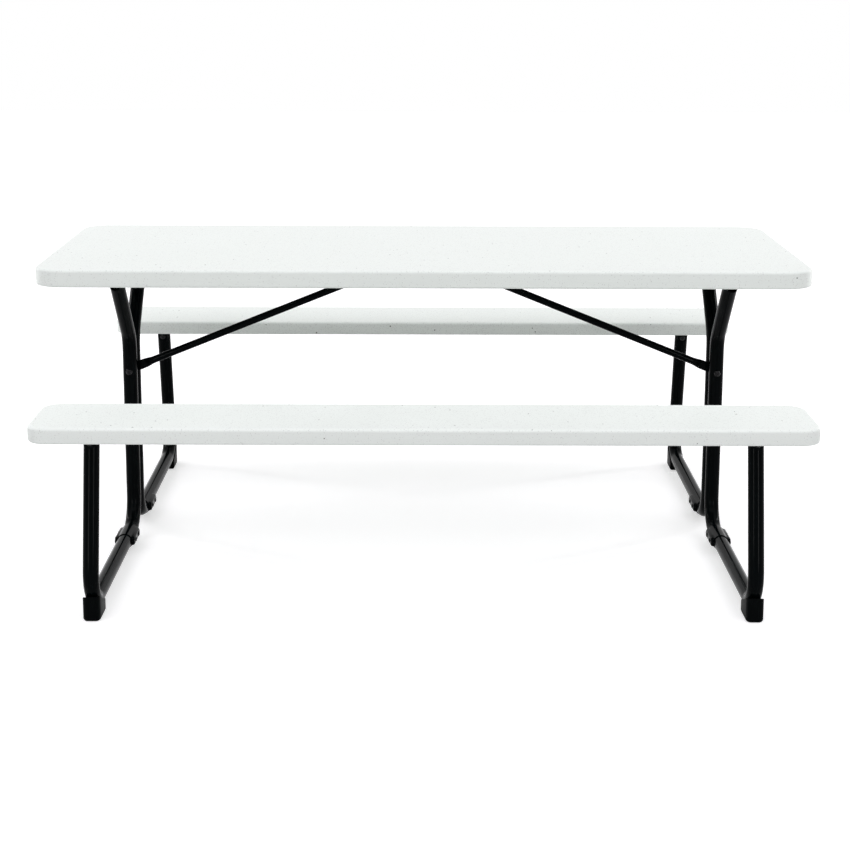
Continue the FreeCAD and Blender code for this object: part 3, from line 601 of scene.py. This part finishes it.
def board(name, body, corner, lip, recess, flanges):
    """A blow moulded board with soft edges, a recessed underside and tack-off dimples."""
    low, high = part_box(name)
    centre = (low + high) / 2
    half = (high - low) / 2
    seam = low.z + (high.z - low.z) * SEAM_SHARE
    under = low.z + recess
    upper = [(inset + SEAM_PROUD, high.z - drop) for inset, drop in quarter_round(EDGE_TOP_ROUND)]
    lower = [(inset + SEAM_PROUD, low.z + drop) for inset, drop in quarter_round(EDGE_LOW_ROUND)]
    profile = [(upper[0][0] + EDGE_HOLD, high.z), *upper, (SEAM_PROUD, upper[-1][1] - EDGE_HOLD)]
    for rise in (SEAM_HALF + EDGE_HOLD, SEAM_HALF, 0, -SEAM_HALF, -SEAM_HALF - EDGE_HOLD):
        profile.append((0 if rise == 0 else SEAM_PROUD, seam + rise))
    profile += [(SEAM_PROUD, lower[-1][1] + EDGE_HOLD), *reversed(lower)]
    profile += [(lip - LIP_ROUND, low.z), (lip, low.z + LIP_ROUND), (lip + LIP_ROUND, under)]

    def ring(inset, z):
        outline = rounded_rectangle(half.x - inset, half.y - inset, corner - inset)
        return [Vector((centre.x + x, centre.y + y, z)) for x, y in outline]

    bm = bmesh.new()
    rows = loft(bm, [ring(inset, z) for inset, z in profile], cap_start=True)
    mouths = []
    for x, y in dimple_places(low, high, lip, flanges):
        rings = dimple_rings(x, y, under, high.z - DIMPLE_SKIN)
        mouths.append(loft(bm, rings, cap_end=True)[0])
    edges = []
    for loop in (rows[-1], *mouths):
        edges += [bm.edges.get((loop[i], loop[(i + 1) % len(loop)])) for i in range(len(loop))]
    bmesh.ops.triangle_fill(bm, use_beauty=True, use_dissolve=False, edges=edges, normal=(0, 0, -1))
    return finished(name + "_board", bm, MOULDING, body, "white_moulding", name, sharp=50)


table_flanges = [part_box(f"{end}_{side}_hinge_saddle") for end in ENDS for side in SIDES]
table_flanges += [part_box(f"{end}_brace_keeper") for end in ENDS]
board("table_top", "table", TABLE_CORNER, TABLE_LIP, TABLE_RECESS, table_flanges)
for side in SIDES:
    brackets = [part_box(f"{side}_bench_{end}_bracket") for end in ENDS]
    board(f"{side}_bench_seat", f"{side}_bench", BENCH_CORNER, BENCH_LIP, BENCH_RECESS, brackets)


# Tubes of the end frames

def upright(end, side):
    """Upright tube: out of its socket, up, and out to the hinge bar, cut level there."""
    name = f"{end}_{side}_upright"
    sign = SIDE_SIGN[side]
    x = END_X[end]
    top = HINGE_Z + TUBE_RADIUS
    places = [(JOINT_Y - JOINT_GAP / 2, BASE_Z), (UPRIGHT_Y, BASE_Z), (UPRIGHT_Y, SPLAY_Z),
              (ARM_SPREAD + TUBE_RADIUS, top)]
    points = [(x, sign * y, z) for y, z in places]
    mesh = swept_tube(name, points, (0, BASE_BEND, SPLAY_BEND, 0), TUBE_RADIUS, POWDER_COAT)
    bm = bmesh.new()
    bm.from_mesh(mesh)
    whole = bm.verts[:] + bm.edges[:] + bm.faces[:]
    cut = bmesh.ops.bisect_plane(bm, geom=whole, plane_co=(0, 0, HINGE_Z), plane_no=(0, 0, 1),
                                 clear_outer=True)
    rim = [item for item in cut["geom_cut"] if isinstance(item, bmesh.types.BMEdge)]
    bmesh.ops.holes_fill(bm, edges=rim)
    finished(name + "_tube", bm, POWDER_COAT, f"{end}_frame", "black_frame", name)


def bench_support(end, side):
    """Bench support tube: along the floor, round the foot and up to the bench."""
    name = f"{end}_{side}_bench_support"
    sign = SIDE_SIGN[side]
    x = END_X[end]
    lean = LEG_SPLAY / (PIVOT_Z - BASE_Z)
    places = [(JOINT_Y + JOINT_GAP / 2, BASE_Z), (FOOT_Y, BASE_Z),
              (PIVOT_Y - LEG_OVERRUN * lean, PIVOT_Z + LEG_OVERRUN)]
    points = [(x, sign * y, z) for y, z in places]
    mesh = swept_tube(name, points, (0, FOOT_BEND, 0), TUBE_RADIUS, POWDER_COAT)
    finished_mesh(name + "_tube", mesh, POWDER_COAT, f"{end}_frame", "black_frame", name)


def arm_weld(end, side):
    """Weld beads where the hinge bar passes through the end of an arm."""
    sign = SIDE_SIGN[side]
    bar = extent(f"{end}_hinge_bar").x / 2
    for tag, way in (("inner", -1), ("outer", 1)):
        points = []
        for step in range(WELD_STEPS + 1):
            angle = WELD_START + WELD_SWEEP * step / WELD_STEPS
            across = bar * math.cos(angle)
            rise = bar * math.sin(angle)
            out = ARM_SPREAD + rise + way * math.sqrt(2 * (TUBE_RADIUS ** 2 - across ** 2))
            points.append((END_X[end] + across, sign * out, HINGE_Z + rise))
        name = f"{end}_{side}_{tag}_weld"
        straight = [0] * len(points)
        mesh = swept_tube(name, points, straight, WELD_RADIUS, POWDER_COAT, sides=WELD_SIDES, bend_steps=1)
        finished_mesh(name, mesh, POWDER_COAT, f"{end}_frame", "black_frame")


def hinge_bar(end):
    """The open tube across both arms, on which the frame swings."""
    name = f"{end}_hinge_bar"
    low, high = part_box(name)
    bm = bmesh.new()
    steps = hollow_tube_steps(high.y - low.y, (high.x - low.x) / 2, HINGE_BAR_WALL)
    turned(bm, Vector((END_X[end], low.y, HINGE_Z)), "y", steps, hollow=True, count=HINGE_BAR_SIDES)
    finished(name + "_tube", bm, POWDER_COAT, f"{end}_frame", "black_frame", name)


# Sockets, boots and plugs of the end frames

SOCKET_WALL = 2 * MM
EAR_PROUD = 7 * MM
EAR_HALF_HEIGHT = 12 * MM
EAR_ROUND = 9 * MM
EAR_LIP = 2.5 * MM
EAR_SPREAD = EAR_LIP / 4
EAR_STEPS = 6
SOCKET_SIDES = 64
SOCKET_BOLT_PITCH = 44 * MM
BOOT_TOE_HEIGHT = 58 * MM
BOOT_HEEL_HEIGHT = 28 * MM
BOOT_TOE_ROUND = 14 * MM
BOOT_ROUND = 6 * MM
BOOT_RIM = 1.2 * MM
BOOT_STEPS = 6
PLUG_CAP = 2 * MM
PLUG_INSERT = 2 * MM


def softened_box_reach(angle, half_wide, half_high, soft):
    """Distance from the centre to a box with rounded corners, in one direction."""
    across = abs(math.cos(angle))
    up = abs(math.sin(angle))
    power = half_high / soft
    return ((across / half_wide) ** power + (up / half_high) ** power) ** (-1 / power)


def socket(end, side):
    """A sleeve over the joint of two tubes, with a rounded ear down each side."""
    name = f"{end}_{side}_socket"
    low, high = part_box(name)
    sleeve = TUBE_RADIUS + SOCKET_WALL
    length = high.y - low.y
    stations = [(0, sleeve - EDGE_BREAK), (EDGE_BREAK, sleeve)]
    turns = [math.pi / 2 * step / EAR_STEPS for step in range(1, EAR_STEPS + 1)]
    stations += [(EAR_ROUND * (1 - math.cos(turn)), sleeve) for turn in turns]
    stations += [(length - along, reach) for along, reach in reversed(stations)]
    rings = []
    for along, reach in stations:
        room = max(0.0, EAR_ROUND - min(along, length - along))
        ear_high = EAR_HALF_HEIGHT - EAR_ROUND + math.sqrt(EAR_ROUND ** 2 - room ** 2) + EAR_SPREAD
        ring = []
        for i in range(SOCKET_SIDES):
            angle = 2 * math.pi * i / SOCKET_SIDES
            ear = softened_box_reach(angle, TUBE_RADIUS + EAR_PROUD, ear_high, EAR_LIP)
            far = max(reach, ear)
            ring.append(Vector((END_X[end] + far * math.cos(angle), low.y + along,
                                BASE_Z + far * math.sin(angle))))
        rings.append(ring)
    bm = bmesh.new()
    loft(bm, rings, cap_start=True, cap_end=True)
    finished(name + "_sleeve", bm, POWDER_COAT, f"{end}_frame", "black_frame", name)


def socket_bolts(end):
    """Low domed heads at both ends of the bolts through the ears."""
    name = f"{end}_socket_bolts"
    ear_face = TUBE_RADIUS + EAR_PROUD
    head = domed_head(SOCKET_HEAD_RADIUS, SOCKET_HEAD_HEIGHT)
    bm = bmesh.new()
    for side in SIDES:
        for step in (-1, 1):
            y = SIDE_SIGN[side] * JOINT_Y + step * SOCKET_BOLT_PITCH / 2
            for axis, way in (("x", 1), ("-x", -1)):
                turned(bm, Vector((END_X[end] + way * ear_face, y, BASE_Z)), axis, head)
    finished(name + "_heads", bm, BLACKENED, f"{end}_frame", "black_fastener", name)


def drawn_in(along, radius):
    """How far a rounded end has drawn in, at a distance from its tip."""
    room = max(0.0, radius - along)
    return radius - math.sqrt(radius ** 2 - room ** 2)


def boot_section(wide, low, high):
    """Points round a boot's cross-section, with a soft sole and a crisper rim."""
    points = []
    corners = ((1, high, -BOOT_RIM), (-1, high, -BOOT_RIM), (-1, low, BOOT_ROUND), (1, low, BOOT_ROUND))
    for quarter, (way, level, inward) in enumerate(corners):
        radius = min(abs(inward), wide)
        for step in range(BOOT_STEPS + 1):
            angle = math.pi / 2 * (quarter + step / BOOT_STEPS)
            points.append((way * (wide - radius) + radius * math.cos(angle),
                           level + math.copysign(radius, inward) + radius * math.sin(angle)))
    return points


def boot(end, side):
    """A moulded boot that rises from its heel to a round toe."""
    name = f"{end}_{side}_foot"
    low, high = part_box(name)
    sign = SIDE_SIGN[side]
    heel = min(abs(low.y), abs(high.y))
    length = high.y - low.y
    half = (high.x - low.x) / 2
    turns = [1 - math.cos(math.pi / 2 * step / BOOT_STEPS) for step in range(BOOT_STEPS + 1)]
    stations = [BOOT_ROUND * turn for turn in turns]
    stations += sorted({length - BOOT_TOE_ROUND * turn for turn in turns}
                       | {length - BOOT_ROUND * turn for turn in turns})
    rings = []
    for along in stations:
        left = length - along
        wide = half - drawn_in(along, BOOT_ROUND) - drawn_in(left, BOOT_TOE_ROUND)
        sole = drawn_in(along, BOOT_ROUND) + drawn_in(left, BOOT_ROUND)
        rim = BOOT_HEEL_HEIGHT + (BOOT_TOE_HEIGHT - BOOT_HEEL_HEIGHT) * along / length
        rim -= drawn_in(along, BOOT_RIM) + drawn_in(left, BOOT_RIM)
        rings.append([Vector((END_X[end] + x, sign * (heel + along), z))
                      for x, z in boot_section(wide, sole, rim)])
    bm = bmesh.new()
    loft(bm, rings, cap_start=True, cap_end=True)
    finished(name + "_boot", bm, BLACK_PLASTIC, f"{end}_frame", "black_plastic", name, sharp=60)


def leg_plug(end, side):
    """The cap in the open top of a bench leg."""
    name = f"{end}_{side}_leg_plug"
    sign = SIDE_SIGN[side]
    lean = LEG_SPLAY / (PIVOT_Z - BASE_Z)
    way = Vector((0, -sign * lean, 1)).normalized()
    seat = Vector((END_X[end], sign * (PIVOT_Y - LEG_OVERRUN * lean), PIVOT_Z + LEG_OVERRUN))
    bore = TUBE_RADIUS - TUBE_WALL
    bm = bmesh.new()
    steps = [(-PLUG_INSERT, bore, ROUND), (0, bore, ROUND), (0, TUBE_RADIUS, ROUND),
             (PLUG_CAP - EDGE_BREAK, TUBE_RADIUS, ROUND), (PLUG_CAP, TUBE_RADIUS - EDGE_BREAK, ROUND)]
    turned(bm, seat, way.to_track_quat("Z", "Y").to_matrix().to_4x4(), steps)
    finished(name + "_cap", bm, BLACK_PLASTIC, f"{end}_frame", "black_plastic", name)


# Cross bolt, its nut and the spacers beside the brace

NUT_CHAMFER = 0.9 * MM
NUT_FACE_SHARE = 0.96
BOLT_TAIL = 3 * MM
SPACER_START = 2.1 * MM
SPACER_RADIUS = 9 * MM


def nut_steps():
    """Steps of a hexagon nut with chamfered ends."""
    face = NUT_RADIUS * math.cos(math.pi / HEX) * NUT_FACE_SHARE
    return [(0, face, ROUND), (NUT_CHAMFER, NUT_RADIUS, HEX),
            (NUT_HEIGHT - NUT_CHAMFER, NUT_RADIUS, HEX), (NUT_HEIGHT, face, ROUND)]


def shank_steps(length):
    """Steps of a bolt's shank with a broken edge at its tip."""
    return [(0, BOLT_RADIUS, ROUND), (length - EDGE_BREAK, BOLT_RADIUS, ROUND),
            (length, BOLT_RADIUS - EDGE_BREAK, ROUND)]


def cross_bolt(end):
    """The bolt through both uprights and the brace, its nut, and the spacers on it."""
    face = UPRIGHT_Y + TUBE_RADIUS
    body = f"{end}_frame"
    x = END_X[end]
    bm = bmesh.new()
    turned(bm, Vector((x, -face, BOLT_Z)), "-y", domed_head(BOLT_HEAD_RADIUS, BOLT_HEAD_HEIGHT))
    shank = shank_steps(2 * face + NUT_HEIGHT + BOLT_TAIL)
    turned(bm, Vector((x, -face, BOLT_Z)), "y", shank, count=SHANK_SIDES)
    finished(f"{end}_cross_bolt_head", bm, BLACKENED, body, "black_fastener", f"{end}_cross_bolt")
    bm = bmesh.new()
    turned(bm, Vector((x, face, BOLT_Z)), "y", nut_steps())
    finished(f"{end}_cross_nut_hex", bm, BLACKENED, body, "black_fastener", f"{end}_cross_nut")
    bm = bmesh.new()
    length = UPRIGHT_Y - TUBE_RADIUS - SPACER_START
    spacer = hollow_tube_steps(length, SPACER_RADIUS, SPACER_RADIUS - BOLT_RADIUS)
    for axis, way in (("y", 1), ("-y", -1)):
        turned(bm, Vector((x, way * SPACER_START, BOLT_Z)), axis, spacer, hollow=True)
    finished(f"{end}_brace_spacer_pair", bm, BLACK_PLASTIC, body, "black_plastic", f"{end}_brace_spacers")


# Diagonal braces

RIVET_REACH = 43 * MM
RIVET_RADIUS = 3.2 * MM
RIVET_HEIGHT = 1.4 * MM
RIVET_SHARES = ((0, 1), (0.6, 0.85), (1, 0.4))
RIVET_SINK_SHARE = 0.9
STRAP_SQUARENESS = 2.6
STRAP_STEPS = 8
STRAP_TIP_SHARE = 0.02
TAPER_STEPS = 10
BRACE_SIDES = 40


def brace_section(flatness, narrow):
    """Points of the section: a round tube at flatness 0 and a pressed strap at 1."""
    ring = []
    core = STRAP_HALF_WIDE - STRAP_HALF_THICK
    for i in range(BRACE_SIDES):
        angle = 2 * math.pi * i / BRACE_SIDES
        across = math.cos(angle)
        along_strap = core * max(-1.0, min(1.0, across * STRAP_SQUARENESS)) + STRAP_HALF_THICK * across
        wide = (1 - flatness) * BRACE_RADIUS * across + flatness * along_strap
        thick = ((1 - flatness) * BRACE_RADIUS + flatness * STRAP_HALF_THICK) * math.sin(angle)
        ring.append((wide * narrow, thick))
    return ring


def strap_stations():
    """Reach, flatness and narrowing from the round tip of a strap to the full tube."""
    stations = []
    for step in range(STRAP_STEPS + 1):
        reach = -STRAP_HALF_WIDE * math.cos(math.pi / 2 * step / STRAP_STEPS)
        narrow = math.sqrt(max(STRAP_TIP_SHARE, 1 - (reach / STRAP_HALF_WIDE) ** 2))
        stations.append((reach, 1.0, narrow))
    stations.append((STRAP_LENGTH, 1.0, 1.0))
    for step in range(1, TAPER_STEPS + 1):
        share = step / TAPER_STEPS
        eased = share * share * (3 - 2 * share)
        stations.append((STRAP_LENGTH + TAPER_LENGTH * share, 1 - eased, 1.0))
    return stations


def brace(end):
    """A tube pressed flat at both ends, from the cross bolt to the pin in its keeper."""
    name = f"{end}_brace_tube"
    foot = Vector((END_X[end], 0, BOLT_Z))
    pin = middle(f"{end}_brace_pin")
    run = pin - foot
    length = run.length
    along = run.normalized()
    across = along.cross(Vector((0, 1, 0)))
    stations = strap_stations()
    stations += [(length - reach, flatness, narrow) for reach, flatness, narrow in reversed(stations)]
    rings = []
    for reach, flatness, narrow in stations:
        centre = foot + along * reach
        rings.append([centre + across * wide + Vector((0, thick, 0))
                      for wide, thick in brace_section(flatness, narrow)])
    bm = bmesh.new()
    loft(bm, rings, cap_start=True, cap_end=True)
    finished(name + "_pressed", bm, POWDER_COAT, f"{end}_brace", "black_frame", name)
    brace_pin(end, pin)
    if end == "right":
        brace_rivet(foot + along * RIVET_REACH)


def brace_pin(end, pin):
    """The cross pin at the top end of a brace."""
    half = extent(f"{end}_brace_pin").y / 2
    steps = [(0, BOLT_RADIUS - EDGE_BREAK, ROUND), (EDGE_BREAK, BOLT_RADIUS, ROUND),
             (2 * half - EDGE_BREAK, BOLT_RADIUS, ROUND), (2 * half, BOLT_RADIUS - EDGE_BREAK, ROUND)]
    bm = bmesh.new()
    turned(bm, Vector((pin.x, -half, pin.z)), "y", steps)
    finished(f"{end}_brace_pin_rod", bm, ZINC, f"{end}_brace", "zinc_steel", f"{end}_brace_pin")


def brace_rivet(centre):
    """The small rivet on the strap of the right brace."""
    seat = centre - Vector((0, STRAP_HALF_THICK * RIVET_SINK_SHARE, 0))
    steps = [(RIVET_HEIGHT * rise, RIVET_RADIUS * reach, ROUND) for rise, reach in RIVET_SHARES]
    bm = bmesh.new()
    turned(bm, seat, "-y", steps, count=SHANK_SIDES)
    finished("right_brace_rivet", bm, BLACKENED, "right_brace", "black_fastener")


# Bench pivots, and the folded plates that are screwed to the mouldings

PLATE_BREAK = 0.7 * MM
PLATE_MERGE = 0.001 * MM
PLATE_FLAT = math.radians(1)
PLATE_CORNER = math.radians(40)
SADDLE_SCREW_REACH = 27 * MM
KEEPER_SCREW_REACH = 20 * MM
BRACKET_SCREW_REACH = 29 * MM


def softened(node, body, material, slot):
    """A copy of a CAD plate with its sharp edges broken."""
    bm = bmesh.new()
    bm.from_mesh(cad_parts[node].data)
    bmesh.ops.remove_doubles(bm, verts=bm.verts, dist=PLATE_MERGE)
    bmesh.ops.dissolve_limit(bm, angle_limit=PLATE_FLAT, verts=bm.verts, edges=bm.edges)
    corners = [edge for edge in bm.edges
               if len(edge.link_faces) == 2 and edge.calc_face_angle() > PLATE_CORNER]
    bmesh.ops.bevel(bm, geom=corners, offset=PLATE_BREAK, segments=2, profile=0.5, affect="EDGES",
                    clamp_overlap=True)
    finished(node + "_plate", bm, material, body, slot, node, sharp=40)


def pivot_bolt(end, side):
    """The bolt and nut on which a bench leg turns in its bracket."""
    name = f"{side}_bench_{end}_pivot_bolt"
    half = extent(f"{side}_bench_{end}_bracket").y / 2
    place = Vector((END_X[end], SIDE_SIGN[side] * PIVOT_Y, PIVOT_Z))
    bm = bmesh.new()
    seat = place - Vector((0, half, 0))
    turned(bm, seat, "-y", domed_head(BOLT_HEAD_RADIUS, BOLT_HEAD_HEIGHT))
    turned(bm, seat, "y", shank_steps(2 * half + NUT_HEIGHT), count=SHANK_SIDES)
    turned(bm, place + Vector((0, half, 0)), "y", nut_steps())
    finished(name + "_set", bm, BLACKENED, f"{side}_bench", "black_fastener", name)


def screw_template():
    """A low domed screw head that points down, at the origin."""
    bm = bmesh.new()
    head = domed_head(SCREW_HEAD_RADIUS, SCREW_HEAD_HEIGHT, SCREW_DRIVE_RADIUS)
    turned(bm, Vector(), "-z", head, count=SHANK_SIDES)
    bmesh.ops.recalc_face_normals(bm, faces=bm.faces)
    mesh = bpy.data.meshes.new("screw_head")
    bm.to_mesh(mesh)
    bm.free()
    return bpy.data.objects.new("screw_head", mesh)


def screw_row(node, body, places, template):
    """Screw heads at places under a board, seated on the plates that they hold."""
    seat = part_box(node)[0].z + SCREW_HEAD_HEIGHT
    mesh = copies(template, [(x, y, seat) for x, y in places], ZINC)
    finished_mesh(node + "_heads", mesh, ZINC, body, "zinc_steel", node)


def all_screws():
    """The screws of the saddles, keepers and brackets, one row for each board."""
    template = screw_template()
    bpy.context.scene.collection.objects.link(template)
    places = []
    for end in ENDS:
        for side in SIDES:
            spot = middle(f"{end}_{side}_hinge_saddle")
            places += [(spot.x + step * SADDLE_SCREW_REACH, spot.y) for step in (-1, 1)]
        pin_x = middle(f"{end}_brace_pin").x
        places += [(pin_x, step * KEEPER_SCREW_REACH) for step in (-1, 1)]
    screw_row("table_screws", "table", places, template)
    for side in SIDES:
        places = [(END_X[end] + step * BRACKET_SCREW_REACH, SIDE_SIGN[side] * PIVOT_Y)
                  for end in ENDS for step in (-1, 1)]
        screw_row(f"{side}_bench_screws", f"{side}_bench", places, template)
    bpy.data.objects.remove(template)


for end in ENDS:
    hinge_bar(end)
    cross_bolt(end)
    socket_bolts(end)
    brace(end)
    softened(f"{end}_brace_keeper", "table", POWDER_COAT, "black_frame")
    for side in SIDES:
        upright(end, side)
        bench_support(end, side)
        arm_weld(end, side)
        socket(end, side)
        boot(end, side)
        leg_plug(end, side)
        pivot_bolt(end, side)
        softened(f"{end}_{side}_hinge_saddle", "table", POWDER_COAT, "black_frame")
        softened(f"{side}_bench_{end}_bracket", f"{side}_bench", POWDER_COAT, "black_frame")
all_screws()


# Camera, light and floor

CAMERA_PLACE = Vector((-0.0158, -4.5990, 1.4421))
CAMERA_YAW = 0.0043
CAMERA_PITCH = 0.2003
CAMERA_ROLL = 0.0035
CAMERA_LENS = 78.02
CAMERA_SENSOR = 36.0
CAMERA_SHIFT = -0.1
FLOOR_HALF = 14.0
FLOOR_DROP = 0.5 * MM
FLOOR_PALE = 0.76
FLOOR_LIFT = 0.50
FLOOR_ROUGH = 0.9
SURROUND_LIGHT = 0.22
OVERHEAD_LIGHT = 2.7
OVERHEAD_TILT = 20
OVERHEAD_SPREAD = 95
OVERHEAD_COLOUR = (0.985, 0.955, 1.0)
TABLE_MIDDLE = Vector((0, 0, 0.5))
STRIP_OUT = 3.4
STRIP_BACK = 1.6
STRIP_HEIGHT = 1.1
STRIP_SIZE = (0.14, 2.4)
STRIP_WATTS = 30
GLINT_OUT = 2.3
GLINT_BACK = -3.9
GLINT_HEIGHT = 1.0
GLINT_SIZE = (0.45, 1.4)
GLINT_WATTS = 34


def make_camera():
    """The camera, fitted to the photograph."""
    data = bpy.data.cameras.new("photo_camera")
    data.lens = CAMERA_LENS
    data.sensor_width = CAMERA_SENSOR
    data.shift_y = CAMERA_SHIFT
    camera = bpy.data.objects.new("photo_camera", data)
    bpy.context.scene.collection.objects.link(camera)
    camera.matrix_world = (Matrix.Translation(CAMERA_PLACE) @ Matrix.Rotation(-CAMERA_YAW, 4, "Z")
                           @ Matrix.Rotation(math.pi / 2 - CAMERA_PITCH, 4, "X")
                           @ Matrix.Rotation(CAMERA_ROLL, 4, "Z"))
    bpy.context.scene.camera = camera


def soft_box(name, place, size, watts):
    """A rectangular studio light that faces the table."""
    data = bpy.data.lights.new(name, "AREA")
    data.shape = "RECTANGLE"
    data.size, data.size_y = size
    data.energy = watts
    lamp = bpy.data.objects.new(name, data)
    lamp.location = place
    lamp.rotation_euler = (TABLE_MIDDLE - Vector(place)).to_track_quat("-Z", "Y").to_euler()
    lamp.visible_camera = False
    bpy.context.scene.collection.objects.link(lamp)
    return lamp


def glint_strip(name, place):
    """A light in front that only draws highlights, on the tubes alone."""
    lamp = soft_box(name, place, GLINT_SIZE, GLINT_WATTS)
    lamp.visible_diffuse = False
    lamp.light_linking.receiver_collection = COATED_TUBES


def seen_strength(tree, unseen, seen):
    """One strength for what a camera, a reflection or glass sees, and another for other rays."""
    path = tree.nodes.new("ShaderNodeLightPath")
    either = maths(tree, "MAXIMUM", path.outputs["Is Camera Ray"], path.outputs["Is Glossy Ray"])
    any_of = maths(tree, "MAXIMUM", either, path.outputs["Is Transmission Ray"])
    return spread_over(tree, any_of, unseen, seen)


def make_floor():
    """A pale floor that keeps the shadow, is white to the camera and is clear from below."""
    material, tree, shader = new_material("studio_floor")
    shader.inputs["Base Color"].default_value = (FLOOR_PALE, FLOOR_PALE, FLOOR_PALE, 1.0)
    shader.inputs["Emission Color"].default_value = (1.0, 1.0, 1.0, 1.0)
    tree.links.new(seen_strength(tree, 0.0, FLOOR_LIFT), shader.inputs["Emission Strength"])
    shader.inputs["Roughness"].default_value = FLOOR_ROUGH
    shader.inputs["Specular IOR Level"].default_value = 0.0
    back = tree.nodes.new("ShaderNodeNewGeometry").outputs["Backfacing"]
    tree.links.new(maths(tree, "SUBTRACT", 1.0, back), shader.inputs["Alpha"])
    bm = bmesh.new()
    corners = ((-1, -1), (1, -1), (1, 1), (-1, 1))
    bm.faces.new([bm.verts.new((x * FLOOR_HALF, y * FLOOR_HALF, -FLOOR_DROP)) for x, y in corners])
    mesh = bpy.data.meshes.new("studio_floor")
    bm.to_mesh(mesh)
    bm.free()
    mesh.materials.append(material)
    floor = bpy.data.objects.new("studio_floor", mesh)
    bpy.context.scene.collection.objects.link(floor)


def make_world():
    """A white surround that the camera sees at full strength and the object at less."""
    world = bpy.data.worlds.new("studio")
    world.use_nodes = True
    bpy.context.scene.world = world
    tree = world.node_tree
    ground = tree.nodes["Background"]
    ground.inputs["Color"].default_value = (1.0, 1.0, 1.0, 1.0)
    tree.links.new(seen_strength(tree, SURROUND_LIGHT, 1.0), ground.inputs["Strength"])


def overhead_light():
    """A wide soft light from above and a little in front, even over the whole floor."""
    data = bpy.data.lights.new("overhead", "SUN")
    data.energy = OVERHEAD_LIGHT
    data.color = OVERHEAD_COLOUR
    data.angle = math.radians(OVERHEAD_SPREAD)
    lamp = bpy.data.objects.new("overhead", data)
    lamp.rotation_euler = (math.radians(OVERHEAD_TILT), 0, 0)
    bpy.context.scene.collection.objects.link(lamp)


make_camera()
make_floor()
make_world()
overhead_light()
for end, way in (("right", 1), ("left", -1)):
    soft_box(f"{end}_strip", (way * STRIP_OUT, STRIP_BACK, STRIP_HEIGHT), STRIP_SIZE, STRIP_WATTS)
    glint_strip(f"{end}_glint", (way * GLINT_OUT, GLINT_BACK, GLINT_HEIGHT))
bpy.context.scene.view_settings.view_transform = "Standard"
